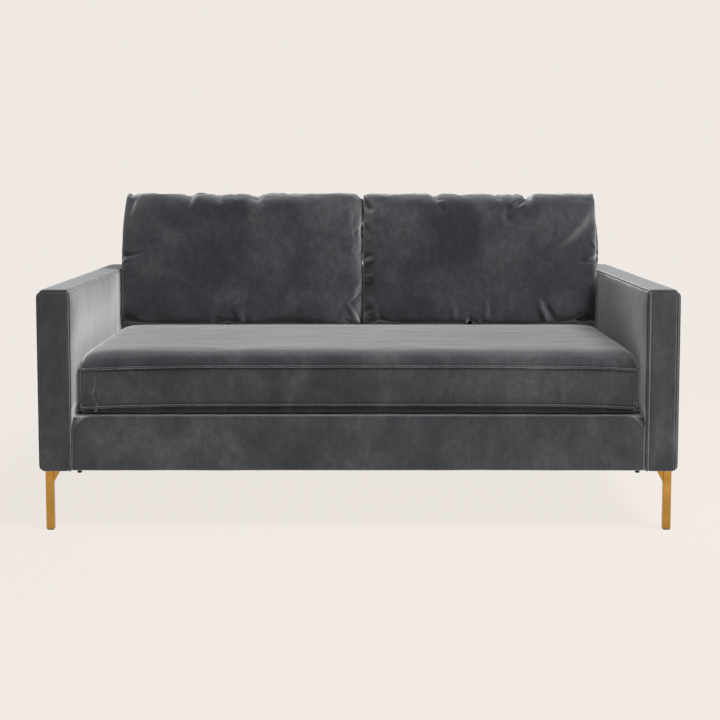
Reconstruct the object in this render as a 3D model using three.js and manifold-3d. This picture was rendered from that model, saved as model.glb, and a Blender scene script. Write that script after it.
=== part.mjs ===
// Tuxedo sofa: a bench seat cushion and two back cushions between arms and a back of one height.
// Millimetres, +Z up, +X to the viewer's right, the front at -Y, the floor at Z = 0.

import * as THREE from 'three';
import { mergeVertices } from 'three/addons/utils/BufferGeometryUtils.js';
import Module from 'manifold-3d';

const wasm = await Module();
wasm.setup();

// Clearances
const fit = 0.3;
const cutOverrun = 6;

// Whole sofa
const overallWidth = 1780;
const overallDepth = 890;
const armHeight = 681;
const legHeight = 174;
const deckHeight = 331;

// Padded arms and back
const armWidth = 92;
const backTopThickness = 100;
const backRakeRun = 30;
const paddingThickness = 18;
const softEdgeRadius = 12;
const hemRadius = 6;
const endBevel = 4;
const skirtDrop = 3;
const railCoverLap = 6;

// Timber frame
const railThickness = 40;
const postDepth = 60;
const topRailHeight = 40;
const tackRailHeight = 40;
const tackRailLift = 14;
const uprightWidth = 60;
const stretcherWidth = 40;
const stretcherHeight = 80;
const cornerBlockLeg = 90;
const cornerBlockHeight = 60;

// Zig-zag seat springs
const springCount = 7;
const springHalfWaves = 20;
const springWireDiameter = 4;
const springHalfWidth = 24;
const springRailLap = 26;

// Back webbing
const webThickness = 2;
const webWidth = 50;
const webColumns = 9;
const webRows = 2;
const webTackLap = 30;

// Deck pad and dust cover
const deckPadThickness = 10;
const deckPadRearLap = 8;
const dustCoverThickness = 1.5;

// Seat cushion
const seatSideGap = 5;
const seatFrontSetback = 22;
const seatRearGap = 7;
const seatLowerRise = 25;
const seatBoxingHeight = 106;
const seatCrown = 43;
const seatCornerDrop = 12;
const seatCornerRounding = 18;
const seatFrontPullIn = 5;
const seatBoxingBulge = 6;
const seatZipEndGap = 187;

// Back cushions
const backCushionSideGap = 4;
const backCushionHeight = 448;
const backCushionThickness = 176;
const backCushionBottomEdge = 120;
const backCushionTopEdge = 56;
const backCushionRidge = 18;
const backCushionPullIn = 9;
const backZipEndGap = 97;
const backZipSetback = 20;

// Cushion covers and zips
const cushionWall = 12;
const zipTapeWidth = 8;
const zipTapeInset = 3;
const sliderLength = 12;
const sliderWidth = 9;
const sliderThickness = 2;
const pullLength = 24;
const pullWidth = 5;
const pullThickness = 1;

// Brass legs, glides and bolts
const barWidth = 22;
const barDepth = 18;
const barRadius = 3;
const legSideInset = 11;
const legFrontSetback = 22;
const plateThickness = 3;
const plateLength = 108;
const plateEndWidth = 50;
const gussetWidth = 20;
const gussetHeight = 36;
const gussetThickness = 4;
const glideThickness = 3;
const glideInset = 2;
const boltReach = 93;
const boltShankRadius = 4;
const boltShankLength = 45;
const boltHeadRadius = 6.5;
const boltHeadHeight = 8;
const boltSocketRadius = 3.4;
const boltSocketDepth = 4;
const washerRadius = 9;
const washerThickness = 1.6;

// Facet counts and the powers that shape the cushions
const edgeSegments = 2;
const wireSegments = 3;
const boltSides = 12;
const settlePasses = 12;
const seatFacets = { x: 22, y: 12, z: 3 };
const seatCoreFacets = { x: 10, y: 6, z: 1 };
const backFacets = { x: 14, y: 2, z: 10 };
const backCoreFacets = { x: 8, y: 1, z: 6 };
const seatCrownPowers = { x: 6, y: 2.6 };
const seatCornerPower = 6;
const seatLowerPower = 12;
const pullInPower = 2;
const backCrownPowers = { edge: 4, fullness: 0.6 };

// Places worked out from the sizes above
const halfWidth = overallWidth / 2;
const halfDepth = overallDepth / 2;
const armInnerX = halfWidth - armWidth;
const coverBottom = legHeight;
const cavityOuterX = halfWidth - paddingThickness;
const cavityInnerX = armInnerX + paddingThickness;
const cavityY = halfDepth - paddingThickness;
const cavityTop = armHeight - paddingThickness;
const frameOuterX = cavityOuterX - fit;
const frameInnerX = cavityInnerX + fit;
const frameEndY = cavityY - fit;
const frameTop = cavityTop - fit;
const timberBottom = coverBottom + skirtDrop;
const deckPadBottom = deckHeight - deckPadThickness;
const springTop = deckPadBottom - fit;
const railTop = springTop - springWireDiameter - fit;
const railInnerY = frameEndY - railThickness;
const railCentreY = frameEndY - railThickness / 2;
const postInnerY = frameEndY - postDepth;
const sideRailCentreX = (frameInnerX + frameOuterX) / 2;
const topRailBottom = frameTop - topRailHeight;
const tackRailBottom = deckHeight + tackRailLift;
const tackRailTop = tackRailBottom + tackRailHeight;
const webFrontY = postInnerY - fit - webThickness;
const backCavityY = webFrontY - fit;
const backFaceTopY = halfDepth - backTopThickness;
const backFaceDeckY = backFaceTopY - backRakeRun;
const backRake = Math.atan2(backRakeRun, armHeight - deckHeight);
const railCoverRearY = -railInnerY + railCoverLap;
const plateTop = coverBottom - fit;
const plateBottom = plateTop - plateThickness;
const boltSeat = plateBottom - fit;
const boltTop = boltSeat + boltShankLength;
const boltHoleRadius = (boltShankRadius + fit) / Math.cos(Math.PI / boltSides);
const legCentreX = halfWidth - legSideInset - barWidth / 2;
const legCentreY = halfDepth - legFrontSetback - barDepth / 2;

// Each finish is made anew, so that every mesh has a material of its own.
const finishes = {
  velvet: { color: 0x4a4b4f, roughness: 0.85, metalness: 0 },
  brass: { color: 0xb08a4a, roughness: 0.35, metalness: 1 },
  steel: { color: 0x3a3a3c, roughness: 0.45, metalness: 1 },
  timber: { color: 0xc2a06c, roughness: 0.75, metalness: 0 },
  webbing: { color: 0x8a7650, roughness: 0.95, metalness: 0 },
  foam: { color: 0xd8cfae, roughness: 0.95, metalness: 0 },
  blackCloth: { color: 0x1b1b1d, roughness: 0.95, metalness: 0 },
  plastic: { color: 0x202022, roughness: 0.5, metalness: 0 },
};

const sofa = new THREE.Group();
sofa.name = 'tuxedo_sofa';

function makeGroup(parent) {
  const group = new THREE.Group();
  parent.add(group);
  return group;
}

function addPiece(parent, name, geometry, finish) {
  const material = new THREE.MeshStandardMaterial({ ...finishes[finish], flatShading: true });
  const mesh = new THREE.Mesh(geometry, material);
  mesh.name = name;
  parent.add(mesh);
  return mesh;
}

// Adds a plain block between two corners.
function addBlock(parent, name, low, high, finish) {
  const size = high.map((value, axis) => value - low[axis]);
  const mesh = addPiece(parent, name, new THREE.BoxGeometry(...size), finish);
  mesh.position.set(...high.map((value, axis) => (value + low[axis]) / 2));
  return mesh;
}

// Solids for joining and cutting
function asSolid(geometry) {
  const plain = geometry.clone();
  plain.deleteAttribute('normal');
  plain.deleteAttribute('uv');
  const merged = mergeVertices(plain);
  return new wasm.Manifold(new wasm.Mesh({
    numProp: 3,
    vertProperties: new Float32Array(merged.attributes.position.array),
    triVerts: new Uint32Array(merged.index.array),
  }));
}

function asGeometry(solid) {
  const mesh = solid.getMesh();
  const geometry = new THREE.BufferGeometry();
  geometry.setAttribute('position', new THREE.BufferAttribute(mesh.vertProperties, 3));
  geometry.setIndex(new THREE.BufferAttribute(mesh.triVerts, 1));
  return geometry;
}

function blockSolid(low, high) {
  const size = high.map((value, axis) => value - low[axis]);
  const geometry = new THREE.BoxGeometry(...size);
  geometry.translate(...high.map((value, axis) => (value + low[axis]) / 2));
  return asSolid(geometry);
}

function uprightCylinder(radius, x, y, bottom, top) {
  const geometry = new THREE.CylinderGeometry(radius, radius, top - bottom, boltSides);
  geometry.rotateX(Math.PI / 2);
  geometry.translate(x, y, (bottom + top) / 2);
  return asSolid(geometry);
}

function joined(solids) {
  return solids.reduce((whole, solid) => whole.add(solid));
}

// Extrusions along each axis
function extruded(outline, length, bevel) {
  return new THREE.ExtrudeGeometry(outline, {
    depth: length - 2 * bevel,
    bevelEnabled: bevel > 0,
    bevelSize: bevel,
    bevelThickness: bevel,
    bevelOffset: -bevel,
    bevelSegments: edgeSegments,
    curveSegments: edgeSegments,
  });
}

// The outline is drawn in X and Z.
function alongY(outline, start, end, bevel = 0) {
  const geometry = extruded(outline, end - start, bevel);
  geometry.rotateX(Math.PI / 2);
  geometry.translate(0, end - bevel, 0);
  return geometry;
}

// The outline is drawn in Y and Z.
function alongX(outline, start, end) {
  const geometry = extruded(outline, end - start, 0);
  geometry.rotateX(Math.PI / 2);
  geometry.rotateZ(Math.PI / 2);
  geometry.translate(start, 0, 0);
  return geometry;
}

// The outline is drawn in X and Y.
function alongZ(outline, start, end) {
  const geometry = extruded(outline, end - start, 0);
  geometry.translate(0, 0, start);
  return geometry;
}

function roundedOutline(left, right, bottom, top, bottomRadius, topRadius) {
  const outline = new THREE.Shape();
  outline.moveTo(left + bottomRadius, bottom);
  outline.absarc(right - bottomRadius, bottom + bottomRadius, bottomRadius, -Math.PI / 2, 0);
  outline.absarc(right - topRadius, top - topRadius, topRadius, 0, Math.PI / 2);
  outline.absarc(left + topRadius, top - topRadius, topRadius, Math.PI / 2, Math.PI);
  outline.absarc(left + bottomRadius, bottom + bottomRadius, bottomRadius, Math.PI, 1.5 * Math.PI);
  return outline;
}

function outlineOf(points) {
  return new THREE.Shape(points.map(([a, b]) => new THREE.Vector2(a, b)));
}

// The four corners and two sides: -1 is left or front, 1 is right or rear.
const sides = [{ name: 'left', x: -1 }, { name: 'right', x: 1 }];
const corners = [];
for (const end of [{ name: 'front', y: -1 }, { name: 'rear', y: 1 }]) {
  for (const side of sides) {
    corners.push({ name: `${end.name}_${side.name}`, end: end.name, x: side.x, y: end.y });
  }
}

// Bolts: one goes up into the front or rear rail, the other into the side rail.
function boltPlaces(corner) {
  const reachX = legCentreX + barWidth / 2 - boltReach;
  const reachY = legCentreY + barDepth / 2 - boltReach;
  return [
    { name: 'inboard', x: corner.x * reachX, y: corner.y * railCentreY },
    { name: 'side', x: corner.x * sideRailCentreX, y: corner.y * reachY },
  ];
}

const allBolts = corners.flatMap((corner) => boltPlaces(corner));

// Cuts a blind hole for each bolt that enters the rail.
function drilledRail(low, high) {
  let rail = blockSolid(low, high);
  for (const bolt of allBolts) {
    const inside = bolt.x > low[0] && bolt.x < high[0] && bolt.y > low[1] && bolt.y < high[1];
    if (inside) {
      const hole = uprightCylinder(boltHoleRadius, bolt.x, bolt.y, low[2] - cutOverrun, boltTop + fit);
      rail = rail.subtract(hole);
    }
  }
  return asGeometry(rail);
}

// Timber frame
const frame = makeGroup(sofa);
const railReachX = frameInnerX - fit;
const sideRailReachY = postInnerY - fit;

for (const end of [{ name: 'front', y: -1 }, { name: 'rear', y: 1 }]) {
  const nearY = Math.min(end.y * railInnerY, end.y * frameEndY);
  const low = [-railReachX, nearY, timberBottom];
  const high = [railReachX, nearY + railThickness, railTop];
  addPiece(frame, `${end.name}_rail`, drilledRail(low, high), 'timber');
}

for (const side of sides) {
  const left = side.x < 0 ? -frameOuterX : frameInnerX;
  const right = side.x < 0 ? -frameInnerX : frameOuterX;
  const postTop = topRailBottom - fit;
  const low = [left, -sideRailReachY, timberBottom];
  const high = [right, sideRailReachY, railTop];
  addPiece(frame, `side_rail_${side.name}`, drilledRail(low, high), 'timber');
  addBlock(frame, `arm_front_post_${side.name}`, [left, -frameEndY, timberBottom],
    [right, -postInnerY, postTop], 'timber');
  addBlock(frame, `arm_rear_post_${side.name}`, [left, postInnerY, timberBottom],
    [right, frameEndY, postTop], 'timber');
  addBlock(frame, `arm_top_rail_${side.name}`, [left, -frameEndY, topRailBottom],
    [right, frameEndY, frameTop], 'timber');
}

addBlock(frame, 'back_top_rail', [-railReachX, postInnerY, topRailBottom],
  [railReachX, frameEndY, frameTop], 'timber');
addBlock(frame, 'back_tack_rail', [-railReachX, postInnerY, tackRailBottom],
  [railReachX, frameEndY, tackRailTop], 'timber');
addBlock(frame, 'back_centre_upright', [-uprightWidth / 2, postInnerY, tackRailTop + fit],
  [uprightWidth / 2, frameEndY, topRailBottom - fit], 'timber');
addBlock(frame, 'centre_stretcher', [-stretcherWidth / 2, -railInnerY + fit, timberBottom],
  [stretcherWidth / 2, railInnerY - fit, timberBottom + stretcherHeight], 'timber');

// Each corner block is a right triangle in plan, glued into the corner of two rails.
for (const corner of corners) {
  const outline = outlineOf([
    [0, 0],
    [-corner.x * cornerBlockLeg, 0],
    [0, -corner.y * cornerBlockLeg],
  ]);
  const block = addPiece(frame, `corner_block_${corner.name}`,
    alongZ(outline, 0, cornerBlockHeight), 'timber');
  block.position.set(corner.x * railReachX, corner.y * (railInnerY - fit), timberBottom);
}

// Zig-zag springs run from the front rail to the rear rail, evenly spaced.
class ZigzagCurve extends THREE.Curve {
  getPoint(share, target = new THREE.Vector3()) {
    const reach = railInnerY + springRailLap;
    const x = springHalfWidth * Math.sin(share * springHalfWaves * Math.PI);
    return target.set(x, -reach + 2 * reach * share, 0);
  }
}

function springGeometry() {
  const section = new THREE.Shape();
  section.absarc(0, 0, springWireDiameter / 2, 0, 2 * Math.PI);
  return new THREE.ExtrudeGeometry(section, {
    extrudePath: new ZigzagCurve(),
    steps: 2 * springHalfWaves,
    curveSegments: wireSegments,
    bevelEnabled: false,
  });
}

const suspension = makeGroup(sofa);
const springPitch = 2 * railReachX / springCount;
for (let index = 0; index < springCount; index += 1) {
  const spring = addPiece(suspension, `seat_spring_${index + 1}`, springGeometry(), 'steel');
  const x = (index - (springCount - 1) / 2) * springPitch;
  spring.position.set(x, 0, springTop - springWireDiameter / 2);
}

// Webbing straps are tacked on the front of the back's rails and posts, and sewn where they cross.
function webbingGeometry() {
  const low = tackRailTop - webTackLap;
  const high = topRailBottom + webTackLap;
  const firstX = -railReachX + webWidth / 2;
  const pitchX = -2 * firstX / (webColumns - 1);
  const pitchZ = (topRailBottom - tackRailTop) / (webRows + 1);
  const straps = [];
  for (let column = 0; column < webColumns; column += 1) {
    const x = firstX + column * pitchX;
    straps.push(blockSolid([x - webWidth / 2, 0, low], [x + webWidth / 2, webThickness, high]));
  }
  for (let row = 1; row <= webRows; row += 1) {
    const z = tackRailTop + row * pitchZ;
    const reach = frameInnerX + webTackLap;
    straps.push(blockSolid([-reach, 0, z - webWidth / 2], [reach, webThickness, z + webWidth / 2]));
  }
  return asGeometry(joined(straps));
}

const webbing = addPiece(suspension, 'back_webbing', webbingGeometry(), 'webbing');
webbing.position.y = webFrontY;

// Padded covers
const covers = makeGroup(sofa);
const coverReachX = armInnerX - fit;

addBlock(covers, 'deck_pad', [-coverReachX, railCoverRearY + fit, deckPadBottom],
  [coverReachX, railInnerY + deckPadRearLap, deckHeight], 'velvet');

// The arm's cover is a padded shell round its posts and rails, open below and towards the seat's base.
function armCoverGeometry(sideX) {
  const left = sideX < 0 ? -halfWidth : armInnerX;
  const right = sideX < 0 ? -armInnerX : halfWidth;
  const profile = roundedOutline(left, right, coverBottom, armHeight, hemRadius, softEdgeRadius);
  const shell = asSolid(alongY(profile, -halfDepth, halfDepth, endBevel));
  const innerWall = [armInnerX - cutOverrun, cavityInnerX + cutOverrun].map((x) => sideX * x);
  const wallLeft = Math.min(...innerWall);
  const wallRight = Math.max(...innerWall);
  const cavity = blockSolid(
    [left + paddingThickness, -cavityY, coverBottom - cutOverrun],
    [right - paddingThickness, cavityY, cavityTop],
  );
  const baseOpening = blockSolid(
    [wallLeft, -cavityY, coverBottom - cutOverrun],
    [wallRight, cavityY, deckPadBottom],
  );
  const backOpening = blockSolid(
    [wallLeft, backCavityY, coverBottom - cutOverrun],
    [wallRight, cavityY, cavityTop],
  );
  return asGeometry(shell.subtract(cavity).subtract(baseOpening).subtract(backOpening));
}

for (const side of sides) {
  addPiece(covers, `arm_cover_${side.name}`, armCoverGeometry(side.x), 'velvet');
}

// The back's cover is one section all along: the outside back, the top and the raked inside back.
function backCoverOutline() {
  const outline = new THREE.Shape();
  const roundedY = halfDepth - softEdgeRadius;
  const roundedZ = armHeight - softEdgeRadius;
  outline.moveTo(cavityY, coverBottom);
  outline.lineTo(halfDepth, coverBottom);
  outline.absarc(roundedY, roundedZ, softEdgeRadius, 0, Math.PI / 2);
  outline.absarc(backFaceTopY + softEdgeRadius, roundedZ, softEdgeRadius, Math.PI / 2, Math.PI);
  outline.lineTo(backFaceDeckY, deckHeight + fit);
  outline.lineTo(backCavityY, deckHeight + fit);
  outline.lineTo(backCavityY, cavityTop);
  outline.lineTo(cavityY, cavityTop);
  return outline;
}

addPiece(covers, 'back_cover', alongX(backCoverOutline(), -coverReachX, coverReachX), 'velvet');

// The front rail's cover wraps the front of the rail and laps over its top.
function railCoverOutline() {
  const outline = new THREE.Shape();
  outline.moveTo(-cavityY, coverBottom);
  outline.lineTo(-cavityY, deckPadBottom);
  outline.lineTo(railCoverRearY, deckPadBottom);
  outline.lineTo(railCoverRearY, deckHeight);
  outline.absarc(-halfDepth + softEdgeRadius, deckHeight - softEdgeRadius, softEdgeRadius,
    Math.PI / 2, Math.PI);
  outline.absarc(-halfDepth + hemRadius, coverBottom + hemRadius, hemRadius,
    Math.PI, 1.5 * Math.PI);
  return outline;
}

addPiece(covers, 'front_rail_cover', alongX(railCoverOutline(), -coverReachX, coverReachX), 'velvet');

// The dust cover closes the underside between the skirts, with a hole for each leg bolt.
function dustCoverGeometry() {
  const top = timberBottom - fit;
  let sheet = blockSolid([-frameOuterX, -frameEndY, top - dustCoverThickness],
    [frameOuterX, frameEndY, top]);
  for (const bolt of allBolts) {
    const hole = uprightCylinder(boltHoleRadius, bolt.x, bolt.y, coverBottom - cutOverrun,
      timberBottom + cutOverrun);
    sheet = sheet.subtract(hole);
  }
  return asGeometry(sheet);
}

addPiece(covers, 'dust_cover', dustCoverGeometry(), 'blackCloth');

// Cushions are unit boxes whose points, as shares from -1 to 1, are moved to the sewn shape.
function shapedBox(facets, place) {
  const geometry = new THREE.BoxGeometry(1, 1, 1, facets.x, facets.y, facets.z);
  const points = geometry.attributes.position;
  for (let index = 0; index < points.count; index += 1) {
    const shares = [points.getX(index), points.getY(index), points.getZ(index)];
    const [x, y, z] = place(...shares.map((value) => 2 * value));
    points.setXYZ(index, x, y, z);
  }
  return geometry;
}

function fallOff(share, power) {
  return 1 - Math.abs(share) ** power;
}

// Makes a cover with a slot for its zip, the foam core inside it, the zip and its slider.
function addCushion(group, name, shape, facets, coreFacets, zip) {
  const outside = asSolid(shapedBox(facets, (u, v, w) => shape(u, v, w, 0)));
  const hollow = asSolid(shapedBox(coreFacets, (u, v, w) => shape(u, v, w, cushionWall)));
  const coreInset = cushionWall + fit;
  const coreShape = shapedBox(coreFacets, (u, v, w) => shape(u, v, w, coreInset));
  const slotLength = zip.length + 2 * fit;
  const slotHalf = zipTapeWidth / 2 + fit;
  const slot = blockSolid(
    [-slotLength / 2, -slotHalf, -cushionWall - cutOverrun],
    [slotLength / 2, slotHalf, cutOverrun],
  ).rotate([zip.turn, 0, 0]).translate(zip.place);
  addPiece(group, `${name}_cover`, asGeometry(outside.subtract(hollow).subtract(slot)), 'velvet');
  addPiece(group, `${name}_core`, coreShape, 'foam');

  const closure = makeGroup(group);
  closure.position.set(...zip.place);
  closure.rotation.x = THREE.MathUtils.degToRad(zip.turn);
  const tapeHalf = zipTapeWidth / 2;
  addBlock(closure, `${name}_zip`, [-zip.length / 2, -tapeHalf, zipTapeInset - cushionWall],
    [zip.length / 2, tapeHalf, 0], 'blackCloth');
  const body = blockSolid([0, -sliderWidth / 2, 0], [sliderLength, sliderWidth / 2, sliderThickness]);
  const pull = blockSolid([sliderLength / 2, -pullWidth / 2, sliderThickness / 2],
    [sliderLength / 2 + pullLength, pullWidth / 2, sliderThickness + pullThickness]);
  const slider = addPiece(closure, `${name}_zip_slider`, asGeometry(body.add(pull)), 'steel');
  slider.position.set(-zip.length / 2, 0, fit);
}

// Seat cushion: two crowned panels round an upright boxing, in a frame at its underside's centre
const seatHalfWidth = armInnerX - seatSideGap - seatBoxingBulge;
const seatFrontY = -halfDepth + seatFrontSetback + seatBoxingBulge;
const seatRearY = backFaceDeckY - seatRearGap;
const seatHalfDepth = (seatRearY - seatFrontY) / 2;
const seatCentreY = (seatRearY + seatFrontY) / 2;
const seatBottom = deckHeight + fit;
const seatUpperSeam = seatLowerRise + seatBoxingHeight;

function seatCorner(u, v) {
  return (Math.abs(u) * Math.abs(v)) ** seatCornerPower;
}

function seatTopAt(u, v) {
  const crown = seatCrown * fallOff(u, seatCrownPowers.x) * fallOff(v, seatCrownPowers.y);
  return seatUpperSeam + crown - seatCornerDrop * seatCorner(u, v);
}

function seatPoint(u, v, w, inset) {
  const bulge = v < 1 ? seatBoxingBulge * fallOff(w, pullInPower) : 0;
  const frontPull = v < 0 ? seatFrontPullIn * fallOff(u, pullInPower) : 0;
  const rounding = seatCornerRounding * seatCorner(u, v);
  const lowerEdge = Math.max(Math.abs(u), Math.abs(v)) ** seatLowerPower;
  const low = seatLowerRise * lowerEdge - seatCornerDrop * seatCorner(u, v) + inset;
  const high = seatTopAt(u, v) - inset;
  return [
    u * (seatHalfWidth + bulge - inset - rounding),
    v * (seatHalfDepth + (v < 0 ? bulge - frontPull : 0) - inset - rounding),
    low + (high - low) * (w + 1) / 2,
  ];
}

const seatCushion = makeGroup(sofa);
seatCushion.position.set(0, seatCentreY, seatBottom);
const seatZip = {
  length: 2 * (seatHalfWidth - seatZipEndGap),
  turn: -90,
  place: [0, seatHalfDepth, seatLowerRise + seatBoxingHeight / 2],
};
addCushion(seatCushion, 'seat_cushion', seatPoint, seatFacets, seatCoreFacets, seatZip);

// Back cushions: two panels sewn in a knife edge, flat below, in a frame at the cushion's middle
const backHalfWidth = (armInnerX - backCushionSideGap - fit / 2) / 2;
const backHalfHeight = backCushionHeight / 2;
const backHalfThickness = backCushionThickness / 2;

function backPoint(u, v, w, inset) {
  const edge = THREE.MathUtils.lerp(backCushionBottomEdge, backCushionTopEdge, (w + 1) / 2) / 2;
  const fullness = (fallOff(u, backCrownPowers.edge) * fallOff(w, backCrownPowers.edge))
    ** backCrownPowers.fullness;
  const ridge = backCushionRidge * Math.abs(v);
  const sidePull = backCushionPullIn * fallOff(w, pullInPower);
  const topPull = backCushionPullIn * fallOff(u, pullInPower);
  const height = backHalfHeight - inset - (w > 0 ? topPull + ridge : 0);
  const belowRidge = (1 + w) / 2 * ridge;
  return [
    u * (backHalfWidth - sidePull - inset - belowRidge),
    v * (edge + (backHalfThickness - edge) * fullness - inset),
    w * height,
  ];
}

// The cushion leans on the raked back and slides down it until its front lower edge meets the seat.
function backCushionPlace() {
  const leanY = Math.sin(backRake);
  const leanZ = Math.cos(backRake);
  const standOff = backHalfThickness + fit;
  const lowerEdge = backCushionBottomEdge / 2;
  const place = { y: backFaceTopY - standOff * leanZ, z: armHeight + standOff * leanY };
  for (let pass = 0; pass < settlePasses; pass += 1) {
    const edgeY = place.y - lowerEdge * leanZ - backHalfHeight * leanY;
    const edgeZ = place.z + lowerEdge * leanY - backHalfHeight * leanZ;
    const seatZ = seatBottom + seatTopAt(0, (edgeY - seatCentreY) / seatHalfDepth);
    const slide = (seatZ + fit - edgeZ) / leanZ;
    place.y += slide * leanY;
    place.z += slide * leanZ;
  }
  return place;
}

const backPlace = backCushionPlace();
const backZip = {
  length: 2 * (backHalfWidth - backZipEndGap),
  turn: 180,
  place: [0, backZipSetback, -backHalfHeight],
};
for (const side of sides) {
  const cushion = makeGroup(sofa);
  cushion.position.set(side.x * (backHalfWidth + fit / 2), backPlace.y, backPlace.z);
  cushion.rotation.x = -backRake;
  addCushion(cushion, `back_cushion_${side.name}`, backPoint, backFacets, backCoreFacets, backZip);
}

// Legs: a bar, its top plate and two gussets, welded; drawn round the bar's centre
function legGeometry(corner) {
  const inX = -corner.x;
  const inY = -corner.y;
  const barHalfX = barWidth / 2;
  const barHalfY = barDepth / 2;
  const bar = asSolid(alongZ(
    roundedOutline(-barHalfX, barHalfX, -barHalfY, barHalfY, barRadius, barRadius),
    glideThickness + fit,
    plateTop,
  ));
  const plateCorners = [
    [0, 0],
    [plateLength, 0],
    [plateLength, plateEndWidth],
    [plateEndWidth, plateLength],
    [0, plateLength],
  ].map(([u, v]) => [inX * (u - barHalfX), inY * (v - barHalfY)]);
  let plate = asSolid(alongZ(outlineOf(plateCorners), plateBottom, plateTop));
  for (const bolt of boltPlaces(corner)) {
    const x = bolt.x - corner.x * legCentreX;
    const y = bolt.y - corner.y * legCentreY;
    plate = plate.subtract(uprightCylinder(boltHoleRadius, x, y, plateBottom - cutOverrun,
      plateTop + cutOverrun));
  }
  const half = gussetThickness / 2;
  const gussetLow = plateBottom - gussetHeight;
  const inboard = outlineOf([
    [0, gussetLow],
    [inX * barHalfX, gussetLow],
    [inX * (barHalfX + gussetWidth), plateBottom],
    [inX * (barHalfX + gussetWidth), plateTop],
    [0, plateTop],
  ]);
  const rearward = outlineOf([
    [0, gussetLow],
    [inY * barHalfY, gussetLow],
    [inY * (barHalfY + gussetWidth), plateBottom],
    [inY * (barHalfY + gussetWidth), plateTop],
    [0, plateTop],
  ]);
  return asGeometry(joined([
    bar,
    plate,
    asSolid(alongY(inboard, -half, half)),
    asSolid(alongX(rearward, -half, half)),
  ]));
}

function glideGeometry() {
  const x = barWidth / 2 - glideInset;
  const y = barDepth / 2 - glideInset;
  return alongZ(roundedOutline(-x, x, -y, y, barRadius, barRadius), 0, glideThickness);
}

// The bolt's profile runs from its socket round the head and washer and up the shank.
function boltGeometry() {
  const headTop = -washerThickness;
  const headBottom = headTop - boltHeadHeight;
  const profile = [
    [0, headBottom + boltSocketDepth],
    [boltSocketRadius, headBottom + boltSocketDepth],
    [boltSocketRadius, headBottom],
    [boltHeadRadius, headBottom],
    [boltHeadRadius, headTop],
    [washerRadius, headTop],
    [washerRadius, 0],
    [boltShankRadius, 0],
    [boltShankRadius, boltShankLength],
    [0, boltShankLength],
  ].map(([radius, height]) => new THREE.Vector2(radius, height));
  const geometry = new THREE.LatheGeometry(profile, boltSides);
  geometry.rotateX(Math.PI / 2);
  return geometry;
}

for (const corner of corners) {
  const legGroup = makeGroup(sofa);
  legGroup.position.set(corner.x * legCentreX, corner.y * legCentreY, 0);
  addPiece(legGroup, `leg_${corner.name}`, legGeometry(corner), 'brass');
  addPiece(legGroup, `glide_${corner.name}`, glideGeometry(), 'plastic');
  for (const bolt of boltPlaces(corner)) {
    const name = `leg_bolt_${corner.name}_${bolt.name}`;
    const piece = addPiece(sofa, name, boltGeometry(), 'steel');
    piece.position.set(bolt.x, bolt.y, boltSeat);
  }
}

export default sofa;
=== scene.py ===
import math

import bmesh
import bpy
import numpy as np
from mathutils import Euler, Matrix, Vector, noise


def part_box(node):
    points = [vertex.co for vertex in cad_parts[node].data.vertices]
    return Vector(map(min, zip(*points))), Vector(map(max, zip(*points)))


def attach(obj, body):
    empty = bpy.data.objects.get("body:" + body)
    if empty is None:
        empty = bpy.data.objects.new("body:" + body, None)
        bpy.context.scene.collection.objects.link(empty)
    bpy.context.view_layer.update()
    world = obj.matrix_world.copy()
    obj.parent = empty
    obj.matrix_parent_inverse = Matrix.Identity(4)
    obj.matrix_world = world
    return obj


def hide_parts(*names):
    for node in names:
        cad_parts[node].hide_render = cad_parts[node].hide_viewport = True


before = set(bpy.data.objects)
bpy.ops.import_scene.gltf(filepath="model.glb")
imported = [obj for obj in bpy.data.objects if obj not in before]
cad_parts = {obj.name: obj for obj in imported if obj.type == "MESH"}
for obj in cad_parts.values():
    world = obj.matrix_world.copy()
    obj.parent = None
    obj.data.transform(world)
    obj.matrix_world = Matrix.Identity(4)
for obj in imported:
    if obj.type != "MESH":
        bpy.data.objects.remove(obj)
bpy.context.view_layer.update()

# Tuxedo sofa in charcoal velvet. Metres, in the CAD part's frame: +Z up, the front at -Y.
MM = 0.001
FIT = 0.3 * MM
OVERRUN = 20 * MM
TINY = 1e-6
FINE_REACH = 6 * MM
FINE_STEP = 1.0 * MM
SIDES = {"left": -1, "right": 1}
ENDS = ("front", "rear")

# Camera, for a square frame of 720 pixels
CAMERA_PLACE = (0.0, -3.508, 0.997)
CAMERA_PITCH = -4.0
CAMERA_LENS = 55.88
FRAME_SIZE_PX = 720
OPTICAL_AXIS_PX = (358.5, 253.2)

# Lamps: place, what they face, size and power in watts
LAMPS = {
    "key": ((3.1, -2.6, 6.0), (0, 0, 0.45), (2.8, 2.8), 650),
    "rear_overhead": ((0, 2.4, 2.6), (0, 0, 0.45), (3.0, 1.0), 24),
    "front_fill": ((0, -4.8, 1.9), (0, 0, 0.45), (3.0, 2.0), 54),
    "left_fill": ((-3.6, 0, 1.5), (0, 0, 0.45), (1.0, 1.0), 3),
    "right_fill": ((3.6, 0.25, 1.5), (0, 0, 0.45), (0.5, 0.6), 10),
}
AMBIENT = (0.92, 0.95, 1.0)
AMBIENT_STRENGTH = 0.02

# Floor: it turns into the plain backdrop between two shares of the fade's size
BACKDROP = (0.871, 0.815, 0.771)
FLOOR_HALF_SIZE = 9.0
FLOOR_FADE_SIZE = 3.0
FLOOR_FADE = (0.35, 0.9)
FLOOR_PLAIN_SHARE = 0.94

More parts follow.
